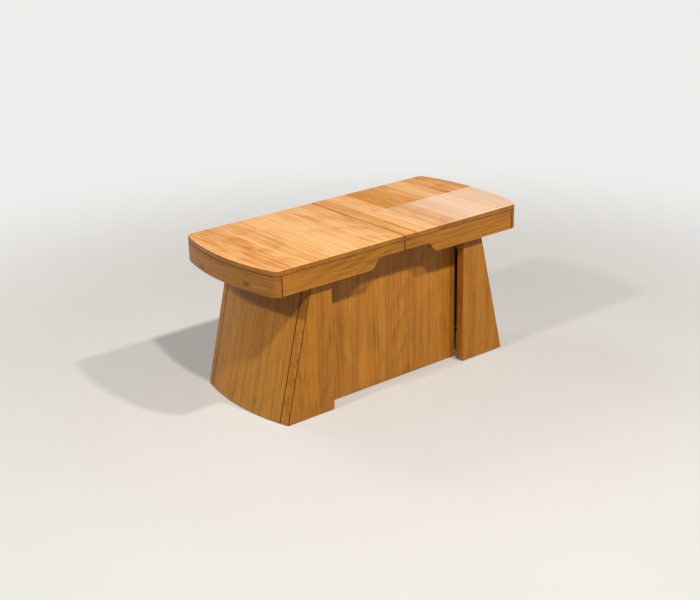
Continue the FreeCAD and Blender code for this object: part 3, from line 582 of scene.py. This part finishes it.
def makeWoodGroup():
    # X runs along the grain, Y across the board's face and Z into it
    tree, given, made = startGroup("woodGrain", [
        ("Place", "Vector", None), ("Pale", "Color", (0.5, 0.25, 0.08, 1)),
        ("Deep", "Color", (0.3, 0.13, 0.03, 1)), ("Stave Width", "Float", 0.1),
        ("Stave Tone", "Float", 0.1), ("Ring Width", "Float", 0.008), ("Figure", "Float", 0.5),
        ("Streaks", "Float", 0.5), ("Knot", "Float", 0.0),
        ("Knot Colour", "Color", (0.25, 0.06, 0.02, 1)),
        ("Wave", "Float", 0.02), ("Flecks", "Float", 0.4),
    ], [("Colour", "Color"), ("Roughness", "Float"), ("Height", "Float")])
    spot = given["Place"]
    across, into = addNode(tree, "ShaderNodeSeparateXYZ", {0: spot}).outputs[1:]

    # staves glued edge to edge, each from another part of the log
    wander = layer(tree, spot, "wander")
    count = maths(tree, "DIVIDE", across, given["Stave Width"])
    stave = maths(tree, "FLOOR", count)
    luck = addNode(tree, "ShaderNodeTexWhiteNoise", {"W": stave}, noise_dimensions="1D")
    shift = vectors(tree, "MULTIPLY", luck.outputs["Color"], figure["staveJump"])
    within = maths(tree, "FRACT", count)
    edge = maths(tree, "MINIMUM", within, maths(tree, "SUBTRACT", 1.0, within))
    glueLine = maths(tree, "MULTIPLY", edge, given["Stave Width"])
    glueLine = spread(tree, glueLine, *figure["glueLine"])

    # growth rings, cut at a slant so that they come out as long arches
    moved = vectors(tree, "ADD", spot, shift)
    drift = layer(tree, moved, "drift")
    mx, my, mz = addNode(tree, "ShaderNodeSeparateXYZ", {0: moved}).outputs
    slant = maths(tree, "SINE", maths(tree, "MULTIPLY", mx, figure["slantRate"]))
    depth = maths(tree, "MULTIPLY_ADD", slant, figure["slantDepth"], figure["heartDepth"])
    depth = maths(tree, "ADD", depth, into)
    side = maths(tree, "SUBTRACT", within, luck.outputs["Value"])
    side = maths(tree, "MULTIPLY", side, given["Stave Width"])
    squares = [maths(tree, "POWER", length, 2.0) for length in (side, depth)]
    radius = maths(tree, "SQRT", maths(tree, "ADD", *squares))
    radius = maths(tree, "MULTIPLY_ADD", drift, given["Wave"], radius)
    # a knot turns the rings round itself
    swell = maths(tree, "MULTIPLY", given["Ring Width"], figure["knotSwell"])
    radius = maths(tree, "MULTIPLY_ADD", given["Knot"], swell, radius)
    phase = maths(tree, "FRACT", maths(tree, "DIVIDE", radius, given["Ring Width"]))
    rise = maths(tree, "POWER", spread(tree, phase, *figure["rise"]), figure["riseCurve"])
    ring = maths(tree, "MULTIPLY", rise, spread(tree, phase, *figure["fall"]))
    patches = spread(tree, layer(tree, moved, "patches"), *figure["patches"])
    ring = maths(tree, "MULTIPLY", ring, patches)

    # streaks and fibres, drawn out along the grain and bent a little with it
    bent = addNode(tree, "ShaderNodeCombineXYZ", {
        0: mx, 1: maths(tree, "MULTIPLY_ADD", drift, figure["bend"], my), 2: mz,
    }).outputs[0]
    wide, fine, fibre = (layer(tree, bent, name) for name in ("wide", "fine", "fibre"))
    pore, fleck = (
        spread(tree, layer(tree, bent, name), *figure[name]) for name in ("pore", "fleck")
    )
    mottle = layer(tree, moved, "mottle")

    # how far the colour goes from the pale to the deep
    streak = maths(tree, "MULTIPLY", fine, figure["fineShare"])
    streak = maths(tree, "ADD", maths(tree, "MULTIPLY", wide, figure["wideShare"]), streak)
    streak = spread(tree, streak, *figure["streak"])
    deepness = maths(tree, "MULTIPLY", streak, given["Streaks"])
    deepness = maths(tree, "MULTIPLY_ADD", ring, given["Figure"], deepness)
    for value, share in ((mottle, figure["mottleShare"]), (fibre, figure["fibreShare"])):
        deepness = maths(tree, "SUBTRACT", deepness, share / 2)
        deepness = maths(tree, "MULTIPLY_ADD", value, share, deepness)
    deepness = maths(tree, "MULTIPLY_ADD", fleck, given["Flecks"], deepness)
    tone = maths(tree, "SUBTRACT", luck.outputs["Value"], 0.5)
    deepness = maths(tree, "MULTIPLY_ADD", tone, given["Stave Tone"], deepness)
    deepness = addNode(tree, "ShaderNodeClamp", {0: deepness}).outputs[0]
    colour = blend(tree, deepness, given["Pale"], given["Deep"])
    redder = blend(tree, figure["redShare"], colour, figure["redder"])
    warmth = spread(tree, layer(tree, moved, "warmth"), *figure["warmth"])
    colour = blend(tree, warmth, colour, redder)
    shade = maths(
        tree, "MULTIPLY", maths(tree, "MULTIPLY_ADD", pore, figure["poreShade"], 1.0),
        maths(tree, "MULTIPLY_ADD", glueLine, figure["glueShade"], 1.0),
    )
    grey = addNode(tree, "ShaderNodeCombineColor", {0: shade, 1: shade, 2: shade}).outputs[0]
    colour = blend(tree, 1.0, colour, grey, "MULTIPLY")
    heart = maths(tree, "MULTIPLY_ADD", fine, figure["heartFine"], figure["heartLeast"])
    heart = maths(tree, "MULTIPLY", given["Knot"], heart)
    heart = addNode(tree, "ShaderNodeClamp", {0: heart}).outputs[0]
    colour = blend(tree, heart, colour, given["Knot Colour"])
    tree.links.new(colour, made["Colour"])

    rough = maths(tree, "MULTIPLY_ADD", fibre, figure["fibreRough"], figure["baseRough"])
    rough = maths(tree, "MULTIPLY_ADD", pore, figure["poreRough"], rough)
    rough = maths(tree, "MULTIPLY_ADD", wander, figure["wanderRough"], rough)
    tree.links.new(rough, made["Roughness"])
    height = maths(tree, "MULTIPLY", pore, figure["poreHeight"])
    height = maths(tree, "MULTIPLY_ADD", fibre, figure["fibreHeight"], height)
    height = maths(tree, "MULTIPLY_ADD", ring, figure["ringHeight"], height)
    height = maths(tree, "MULTIPLY_ADD", glueLine, figure["glueHeight"], height)
    tree.links.new(height, made["Height"])
    return tree


knotLook = {
    "stretch": (0.45, 1, 0.5), "ragged": (60, 180, 60), "detail": 2.0, "raggedShare": 0.9,
    "least": 0.55, "falloff": 2.718,
}


def makeKnotGroup():
    # a knot's strength round one spot, drawn out along the grain
    tree, given, made = startGroup("knot", [
        ("Place", "Vector", None), ("Spot", "Vector", None), ("Size", "Float", 0.01),
    ], [("Knot", "Float")])
    away = vectors(tree, "SUBTRACT", given["Place"], given["Spot"])
    away = vectors(tree, "MULTIPLY", away, knotLook["stretch"])
    ragged = vectors(tree, "MULTIPLY", given["Place"], knotLook["ragged"])
    ragged = noise(tree, ragged, 1.0, knotLook["detail"])
    ragged = maths(tree, "MULTIPLY_ADD", ragged, knotLook["raggedShare"], knotLook["least"])
    reach = maths(tree, "DIVIDE", vectors(tree, "LENGTH", away), given["Size"])
    reach = maths(tree, "MULTIPLY", reach, ragged)
    fade = maths(tree, "MULTIPLY", maths(tree, "POWER", reach, 2.0), -1.0)
    tree.links.new(maths(tree, "POWER", knotLook["falloff"], fade), made["Knot"])
    return tree


edgeLook = {
    "reach": 0.002, "patchSize": 45.0, "patchDetail": 3.0, "patches": (0.35, 0.65, 0.45, 1.0),
    "turn": (0.01, 0.16),
}


def makeEdgeGroup():
    # marks the arrises and inside corners, which are drawn darker
    inputs = [("Reach", "Float", edgeLook["reach"])]
    tree, given, made = startGroup("edgeMask", inputs, [("Edge", "Float")])
    rounded = addNode(tree, "ShaderNodeBevel", {"Radius": given["Reach"]}, samples=4)
    surface = addNode(tree, "ShaderNodeNewGeometry")
    same = vectors(tree, "DOT_PRODUCT", rounded.outputs[0], surface.outputs["Normal"])
    coords = addNode(tree, "ShaderNodeTexCoord").outputs["Object"]
    patchy = noise(tree, coords, edgeLook["patchSize"], edgeLook["patchDetail"])
    patchy = spread(tree, patchy, *edgeLook["patches"])
    mask = spread(tree, maths(tree, "SUBTRACT", 1.0, same), *edgeLook["turn"])
    tree.links.new(maths(tree, "MULTIPLY", mask, patchy), made["Edge"])
    return tree


handlingLook = {
    # a noise's settings are its scale, detail, roughness and distortion
    "smears": 0.1, "smear": (9.0, 4.0, 0.6, 0.8), "cells": 22.0, "dent": (0.02, 0.07, -1.0, 0.0),
    "dentLuck": (0.8, 0.82), "ripple": (6.0, 2.0), "rippleShare": 0.9,
}


def makeHandlingGroup():
    # faint smears in the lacquer and the small dents of use
    inputs = [("Smears", "Float", handlingLook["smears"])]
    outputs = [("Roughness", "Float"), ("Height", "Float")]
    tree, given, made = startGroup("handling", inputs, outputs)
    coords = addNode(tree, "ShaderNodeTexCoord").outputs["Object"]
    smear = maths(tree, "SUBTRACT", noise(tree, coords, *handlingLook["smear"]), 0.5)
    tree.links.new(maths(tree, "MULTIPLY", smear, given["Smears"]), made["Roughness"])
    cell = addNode(tree, "ShaderNodeTexVoronoi", {"Vector": coords, "Scale": handlingLook["cells"]})
    dent = spread(tree, cell.outputs["Distance"], *handlingLook["dent"])
    lucky = addNode(tree, "ShaderNodeSeparateXYZ", {0: cell.outputs["Color"]}).outputs[0]
    lucky = spread(tree, lucky, *handlingLook["dentLuck"])
    ripple = noise(tree, coords, *handlingLook["ripple"])
    ripple = maths(tree, "MULTIPLY", ripple, handlingLook["rippleShare"])
    tree.links.new(maths(tree, "MULTIPLY_ADD", dent, lucky, ripple), made["Height"])
    return tree


woodGroup, knotGroup = makeWoodGroup(), makeKnotGroup()
edgeGroup, handlingGroup = makeEdgeGroup(), makeHandlingGroup()


def startMaterial(name):
    material = bpy.data.materials.new(name)
    material.use_nodes = True
    tree = material.node_tree
    return material, tree, tree.nodes["Principled BSDF"]


def setBump(tree, surface, heights):
    # stacks bumps: (height, strength, distance) from coarse to fine
    normal = None
    for height, strength, distance in heights:
        inputs = {"Height": height, "Strength": strength, "Distance": distance}
        if normal is not None:
            inputs["Normal"] = normal
        normal = addNode(tree, "ShaderNodeBump", inputs).outputs[0]
    tree.links.new(normal, surface.inputs["Normal"])


# The woods themselves.

woodCommon = {
    # what each wood has unless it says otherwise; depthScale flattens the figure as in veneer
    "depthScale": 1.0, "wave": 0.016, "stave": 0.4, "staveTone": 0.1, "ring": 0.006,
    "figure": 0.34, "streaks": 0.72, "flecks": 0.36, "edge": 0.2, "shadeAndEdgeTone": (0.04, 0.015, 0.004),
    "coat": 0.04, "coatRough": 0.25, "ior": 1.4, "gloss": 0.35, "extraRough": 0.0,
    "knotColour": (0.2, 0.06, 0.02), "knots": (), "face": 0.0,
}
woodLooks = {
    # grain: which object axes run along, across and into the board; a knot is along, across, size
    "seatWood": {
        "grain": "YXZ", "offset": (1.37, 0.031, 0.0),
        # pale and deep are partly painted light: paler than the wood's own tone, standing in for the
        # light and sheen on the top
        "pale": (0.86, 0.485, 0.20), "deep": (0.59, 0.228, 0.038),
        "stave": 0.078, "staveTone": 0.8, "ring": 0.0075, "figure": 0.36, "streaks": 0.85,
        "flecks": 0.3, "edge": 0.05, "coat": 0.3, "coatRough": 0.16, "ior": 1.45, "gloss": 0.4,
        "knotColour": (0.52, 0.12, 0.012), "face": 0.457,
        "knots": ((-0.0053, -0.3815, 0.0115), (0.021, 0.3753, 0.010)),
        "paleLengthAndSheen": {
            # in front of "along" and right of "across" the staves are another, paler length, whose
            # paler colour is partly a painted sheen
            "along": 0.0115, "across": 0.085, "from": 0.155, "to": 0.265, "least": 0.25,
            "most": 0.85, "pale": (0.72, 0.575, 0.46), "cover": 0.8, "lift": 0.62, "shift": 2.3,
        },
    },
    "seatEdgeWood": {
        "grain": "YXZ", "offset": (1.37, 0.031, 0.0),
        "pale": (0.42, 0.165, 0.02), "deep": (0.22, 0.075, 0.006),
        "stave": 0.078, "staveTone": 0.3, "ring": 0.0075, "figure": 0.3, "edge": 0.1,
    },
    "apronWood": {
        "grain": "XZY", "offset": (0.4, 0.11, 0.3),
        "pale": (0.49, 0.195, 0.018), "deep": (0.25, 0.085, 0.005), "depthScale": 0.1,
    },
    "endApronWood": {
        "grain": "UV", "offset": (3.1, 0.5, 0.0),
        "pale": (0.39, 0.165, 0.022), "deep": (0.20, 0.074, 0.007),
        "knotColour": (0.03, 0.012, 0.005),
        "knots": ((1.8076, 0.019, 0.0055), (1.5994, 0.012, 0.006)),
    },
    "sideBoardWood": {
        "grain": "ZXY", "offset": (2.2, 0.07, 0.4),
        "pale": (0.50, 0.20, 0.018), "deep": (0.30, 0.10, 0.006),
        "stave": 0.3, "staveTone": 0.12, "edge": 0.35, "depthScale": 0.3,
    },
    "bowedPanelWood": {
        "grain": "ZYX", "offset": (5.3, 0.19, 0.2),
        "pale": (0.51, 0.225, 0.032), "deep": (0.29, 0.11, 0.011),
        "stave": 0.11, "staveTone": 0.16, "figure": 0.18, "streaks": 0.6, "wave": 0.01,
        "edge": 0.35, "depthScale": 0.04,
    },
    "boxPanelWood": {
        "grain": "ZXY", "offset": (7.6, 0.23, 0.7),
        "pale": (0.55, 0.225, 0.025), "deep": (0.31, 0.105, 0.007),
        "stave": 0.105, "staveTone": 0.24, "figure": 0.32, "streaks": 0.62, "edge": 0.25,
        "depthScale": 0.3,
    },
}
innerWood = {
    # planed and left bare, one for each way that the grain runs
    "pale": (0.62, 0.42, 0.24), "deep": (0.42, 0.26, 0.12), "ring": 0.004, "streaks": 0.5,
    "edge": 0.1, "coat": 0.0, "extraRough": 0.28, "shadeAndEdgeTone": (0.2, 0.12, 0.06),
}
woodLooks["innerWoodX"] = {**innerWood, "grain": "XYZ", "offset": (0.9, 0.4, 0.1)}
woodLooks["innerWoodY"] = {**innerWood, "grain": "YZX", "offset": (4.9, 0.4, 0.6)}
woodLooks["innerWoodZ"] = {
    **innerWood, "grain": "ZYX", "offset": (2.9, 0.7, 0.3), "stave": 0.09, "staveTone": 0.2,
}
woodLooks = {name: {**woodCommon, **look} for name, look in woodLooks.items()}
# a joint's faces are nearly covered by this painted shade
jointPaintedShade = {"cover": 0.93, "extraRough": 0.3}
woodBump = {"handling": (0.25, 0.0004), "grain": (0.35, 0.00012)}  # strength, distance


def layKnots(tree, look, along):
    # the strength of all the look's knots together
    strength = 0.0
    for *spot, size in look["knots"]:
        knot = addNode(tree, "ShaderNodeGroup", node_tree=knotGroup)
        tree.links.new(along, knot.inputs["Place"])
        knot.inputs["Spot"].default_value = (*spot, look["face"])
        knot.inputs["Size"].default_value = size
        strength = maths(tree, "ADD", knot.outputs[0], strength)
    return strength


def makeWood(name, darkened=False):
    look = woodLooks[name]
    material, tree, surface = startMaterial(name + ("Joint" if darkened else ""))
    coords = addNode(tree, "ShaderNodeTexCoord")
    order, source = look["grain"], "Object"
    if order == "UV":
        order, source = "XYZ", "UV"
    split = addNode(tree, "ShaderNodeSeparateXYZ", {0: coords.outputs[source]})
    axes = dict(zip("XYZ", split.outputs))
    turned = addNode(tree, "ShaderNodeCombineXYZ", {n: axes[axis] for n, axis in enumerate(order)})
    moved = addNode(tree, "ShaderNodeMapping", {
        "Vector": turned.outputs[0], "Location": look["offset"],
        "Scale": (1, 1, look["depthScale"]),
    }).outputs[0]
    grain = addNode(tree, "ShaderNodeGroup", node_tree=woodGroup)
    values = {
        "Pale": (*look["pale"], 1), "Deep": (*look["deep"], 1), "Stave Width": look["stave"],
        "Stave Tone": look["staveTone"], "Ring Width": look["ring"], "Figure": look["figure"],
        "Streaks": look["streaks"], "Wave": look["wave"], "Flecks": look["flecks"],
        "Knot Colour": (*look["knotColour"], 1),
    }
    for label, value in values.items():
        grain.inputs[label].default_value = value
    if look["knots"]:
        tree.links.new(layKnots(tree, look, turned.outputs[0]), grain.inputs["Knot"])
    colour = grain.outputs["Colour"]
    joint = look.get("paleLengthAndSheen")
    if joint:
        before = maths(tree, "LESS_THAN", axes[order[0]], joint["along"])
        beyond = maths(tree, "GREATER_THAN", axes[order[1]], joint["across"])
        other = maths(tree, "MULTIPLY", before, beyond)
        shift = maths(tree, "MULTIPLY", other, joint["shift"])
        shift = addNode(tree, "ShaderNodeCombineXYZ", {0: shift, 1: 0.0, 2: 0.0})
        moved = vectors(tree, "ADD", moved, shift.outputs[0])
        # the other length is paler by a painted sheen as well as by its own tone
        paleLengthAndSheenShare = (joint["from"], joint["to"], joint["least"], joint["most"])
        paleLengthAndSheenShare = spread(tree, axes[order[1]], *paleLengthAndSheenShare)
        pale = blend(tree, 1.0, colour, (*[joint["lift"]] * 3, 1), "DIVIDE")
        pale = blend(tree, joint["cover"], pale, (*joint["pale"], 1))
        colour = blend(tree, maths(tree, "MULTIPLY", paleLengthAndSheenShare, other), colour, pale)
    tree.links.new(moved, grain.inputs["Place"])
    used = addNode(tree, "ShaderNodeGroup", node_tree=handlingGroup)
    extraRough, cover = look["extraRough"], jointPaintedShade["cover"]
    # joint faces take the painted shade; other faces are darkened only at the arrises
    if darkened:
        extraRough += jointPaintedShade["extraRough"]
    else:
        edge = addNode(tree, "ShaderNodeGroup", node_tree=edgeGroup)
        cover = maths(tree, "MULTIPLY", edge.outputs[0], look["edge"])
    colour = blend(tree, cover, colour, (*look["shadeAndEdgeTone"], 1))
    tree.links.new(colour, surface.inputs["Base Color"])
    rough = maths(tree, "ADD", grain.outputs["Roughness"], used.outputs["Roughness"])
    tree.links.new(maths(tree, "ADD", rough, extraRough), surface.inputs["Roughness"])
    setBump(tree, surface, [
        (used.outputs["Height"], *woodBump["handling"]),
        (grain.outputs["Height"], *woodBump["grain"]),
    ])
    surface.inputs["Coat Weight"].default_value = look["coat"]
    surface.inputs["Coat Roughness"].default_value = look["coatRough"]
    surface.inputs["IOR"].default_value = look["ior"]
    surface.inputs["Specular IOR Level"].default_value = look["gloss"]
    return material


# Metal and plastic, for the fittings inside.

steelLook = {
    "bright": (0.66, 0.66, 0.63, 1), "dull": (0.46, 0.46, 0.45, 1), "rough": (0.22, 0.22),
    "spangle": 420.0, "cloud": (60.0, 3.0), "rubbed": (300, 2600, 300), "bump": (0.2, 0.00003),
    "spangleShare": 0.4, "cloudShare": 0.6,
}


def makeSteel():
    # zinc plate: a dull spangle with fine rubbed lines
    material, tree, surface = startMaterial("zincPlate")
    coords = addNode(tree, "ShaderNodeTexCoord").outputs["Object"]
    size = {"Vector": coords, "Scale": steelLook["spangle"]}
    spangle = addNode(tree, "ShaderNodeTexVoronoi", size).outputs["Color"]
    spangle = addNode(tree, "ShaderNodeSeparateXYZ", {0: spangle}).outputs[0]
    cloud = noise(tree, coords, *steelLook["cloud"])
    cloud = maths(tree, "MULTIPLY", cloud, steelLook["cloudShare"])
    lines = noise(tree, vectors(tree, "MULTIPLY", coords, steelLook["rubbed"]), 1.0)
    dull = maths(tree, "MULTIPLY_ADD", spangle, steelLook["spangleShare"], cloud)
    colour = blend(tree, dull, steelLook["bright"], steelLook["dull"])
    tree.links.new(colour, surface.inputs["Base Color"])
    rough = maths(tree, "MULTIPLY_ADD", dull, *steelLook["rough"])
    tree.links.new(rough, surface.inputs["Roughness"])
    setBump(tree, surface, [(lines, *steelLook["bump"])])
    surface.inputs["Metallic"].default_value = 1.0
    return material


nylonLook = {
    "clean": (0.80, 0.77, 0.68, 1), "scuffed": (0.62, 0.57, 0.47, 1), "rough": (0.2, 0.38),
    "cloud": (140.0, 3.0, 0.6), "scratch": (90, 1800, 400), "share": 0.5, "worn": (0.4, 0.65),
    "bump": (0.25, 0.00004),
}


def makeNylon():
    # milky plastic, scuffed where it drags
    material, tree, surface = startMaterial("scuffedNylon")
    coords = addNode(tree, "ShaderNodeTexCoord").outputs["Object"]
    cloud = maths(tree, "MULTIPLY", noise(tree, coords, *nylonLook["cloud"]), nylonLook["share"])
    scratch = noise(tree, vectors(tree, "MULTIPLY", coords, nylonLook["scratch"]), 1.0)
    worn = maths(tree, "MULTIPLY_ADD", scratch, nylonLook["share"], cloud)
    worn = spread(tree, worn, *nylonLook["worn"])
    colour = blend(tree, worn, nylonLook["clean"], nylonLook["scuffed"])
    tree.links.new(colour, surface.inputs["Base Color"])
    rough = maths(tree, "MULTIPLY_ADD", worn, *nylonLook["rough"])
    tree.links.new(rough, surface.inputs["Roughness"])
    setBump(tree, surface, [(scratch, *nylonLook["bump"])])
    return material


# Which piece has which finish.

finishes = {
    "seatWood": ("rightSeatTop", "leftSeatTop"),
    "apronWood": (
        "rightFrontApronBoard", "leftRearApronBoard", "rightRearApronBoard", "leftFrontApronBoard",
    ),
    "endApronWood": ("rightEndApronBoard", "leftEndApronBoard"),
    "sideBoardWood": (
        "rightFrontSideBoard", "leftRearSideBoard", "rightRearSideBoard", "leftFrontSideBoard",
    ),
    "bowedPanelWood": ("rightBowedPanel", "leftBowedPanel"),
    "boxPanelWood": ("frontBoxPanel", "rearBoxPanel"),
}
keptFinishes = (
    # what a kept CAD node's name ends with, and its finish
    ("rail", "innerWoodY"), ("glue_blocks", "innerWoodX"), ("runner", "innerWoodX"),
    ("rack", "nylon"), ("screws", "steel"), ("lock_plate", "steel"), ("lock_strike", "steel"),
    ("dowels", "innerWoodX"), ("glides", "nylon"), ("lock_arm", "steel"), ("pinion", "nylon"),
    ("end_board", "innerWoodZ"), ("bottom_board", "innerWoodX"), ("corner_posts", "innerWoodZ"),
    ("centre_slide", "innerWoodX"), ("pinion_axle", "steel"),
)
made = {name: makeWood(name) for name in woodLooks}
# the Joint copies carry the painted joint shade
made.update({name + "Joint": makeWood(name, darkened=True) for name in finishes})
made["steel"] = makeSteel()
made["nylon"] = makeNylon()

for finish, names in finishes.items():
    for name in names:
        slots = pieces[name].data.materials
        slots[0], slots[paintedJointShadeSlot] = made[finish], made[finish + "Joint"]
        if finish == "seatWood":
            slots[rimSlot] = made["seatEdgeWood"]
for name, node in nodes.items():
    if node.hide_render:
        continue
    finish = next(finish for ending, finish in keptFinishes if name.endswith(ending))
    if not node.material_slots:
        node.data.materials.append(made[finish])
    for slot in node.material_slots:
        slot.material = made[finish]
kept = sum(not node.hide_render for node in nodes.values())
print("finishes laid on", len(pieces), "pieces and", kept, "nodes")


# The pale floor and room, the lamps and the photograph's viewpoint.

floorLook = {
    # bounce is the floor as the bench's own light sees it, seen is the room that it fades into
    "size": 40.0, "colour": (0.62, 0.605, 0.58, 1), "shade": (0.58, 0.565, 0.54, 1),
    "bounce": (0.40, 0.385, 0.36, 1), "seen": (0.86, 0.85, 0.83, 1), "cloud": (1.2, 3.0),
    "rough": 0.85, "gloss": 0.2, "fade": (0.7, 2.4, 0.10, 1.0),
}


def addFloor():
    deselectAll()
    bpy.ops.mesh.primitive_plane_add(size=floorLook["size"])
    floor = applyPlace("paleFloor")
    material, tree, surface = startMaterial("paleFloor")
    coords = addNode(tree, "ShaderNodeTexCoord").outputs["Object"]
    cloud = noise(tree, coords, *floorLook["cloud"])
    path = addNode(tree, "ShaderNodeLightPath").outputs
    watched = maths(tree, "MAXIMUM", path["Is Camera Ray"], path["Is Glossy Ray"])
    colour = blend(tree, cloud, floorLook["colour"], floorLook["shade"])
    colour = blend(tree, watched, floorLook["bounce"], colour)
    tree.links.new(colour, surface.inputs["Base Color"])
    surface.inputs["Roughness"].default_value = floorLook["rough"]
    surface.inputs["Specular IOR Level"].default_value = floorLook["gloss"]
    # it keeps the bench's shadow, and fades into the room further off
    away = spread(tree, vectors(tree, "LENGTH", coords), *floorLook["fade"])
    glow = addNode(tree, "ShaderNodeEmission", {"Color": floorLook["seen"], "Strength": 1.0})
    mixed = addNode(tree, "ShaderNodeMixShader", {
        0: maths(tree, "MULTIPLY", watched, away), 1: surface.outputs[0], 2: glow.outputs[0],
    })
    tree.links.new(mixed.outputs[0], tree.nodes["Material Output"].inputs["Surface"])
    floor.data.materials.clear()
    floor.data.materials.append(material)


worldLook = {"light": (1.0, 0.985, 0.96, 1), "strength": 0.13, "seen": (0.86, 0.85, 0.83, 1)}


def addWorld():
    # soft room light; only the camera sees the pale room, which would haze the lacquer
    world = bpy.data.worlds.new("paleRoom")
    world.use_nodes = True
    tree = world.node_tree
    tree.nodes.clear()
    path = addNode(tree, "ShaderNodeLightPath").outputs
    lit = addNode(tree, "ShaderNodeBackground", {
        "Color": worldLook["light"], "Strength": worldLook["strength"],
    })
    shown = addNode(tree, "ShaderNodeBackground", {"Color": worldLook["seen"], "Strength": 1.0})
    mixed = addNode(tree, "ShaderNodeMixShader", {
        0: path["Is Camera Ray"], 1: lit.outputs[0], 2: shown.outputs[0],
    })
    addNode(tree, "ShaderNodeOutputWorld", {"Surface": mixed.outputs[0]})
    scene.world = world


lamps = {
    # direction from the bench, distance, size, power and colour
    "frontLeftLamp": ((-0.40, -1.0, 1.34), 4.5, 0.2, 117, (1.0, 0.965, 0.91)),
    "frontRightLamp": ((0.364, -1.0, 1.34), 4.5, 0.2, 96, (1.0, 0.965, 0.91)),
    "leftLamp": ((-1.0, -0.10, 0.80), 4.5, 0.28, 74, (1.0, 0.97, 0.93)),
    "rearSoftbox": ((-0.30, 1.0, 0.85), 4.6, 1.4, 48, (1.0, 0.97, 0.94)),
}


lampAim = Vector((0, 0, 0.3))


def addLamps():
    for name, (direction, distance, size, power, colour) in lamps.items():
        data = bpy.data.lights.new(name, "AREA")
        data.size = size
        data.energy = power
        data.color = colour
        lamp = bpy.data.objects.new(name, data)
        scene.collection.objects.link(lamp)
        away = Vector(direction).normalized()
        lamp.location = lampAim + away * distance
        lamp.rotation_euler = away.to_track_quat("Z", "Y").to_euler()


camera = {
    "place": (-2.2421, -2.7408, 1.5726), "yaw": 0.67932, "pitch": 0.36813, "roll": -0.021736,
    "lens": 66.54, "sensor": 36,
}


def addCamera():
    yaw, pitch, roll = camera["yaw"], camera["pitch"], camera["roll"]
    level = Vector((math.cos(yaw), -math.sin(yaw), 0))
    ahead = Vector((
        math.sin(yaw) * math.cos(pitch), math.cos(yaw) * math.cos(pitch), -math.sin(pitch),
    ))
    above = level.cross(ahead)
    right = math.cos(roll) * level + math.sin(roll) * above
    up = math.cos(roll) * above - math.sin(roll) * level
    data = bpy.data.cameras.new("benchCamera")
    data.lens = camera["lens"]
    data.sensor_width = camera["sensor"]
    view = bpy.data.objects.new("benchCamera", data)
    scene.collection.objects.link(view)
    turn = Matrix((right, up, -ahead)).transposed()
    view.matrix_world = Matrix.Translation(camera["place"]) @ turn.to_4x4()
    scene.camera = view


addFloor()
addWorld()
addLamps()
addCamera()
scene.view_settings.view_transform = "Standard"
print("floor, room, lamps and camera set")
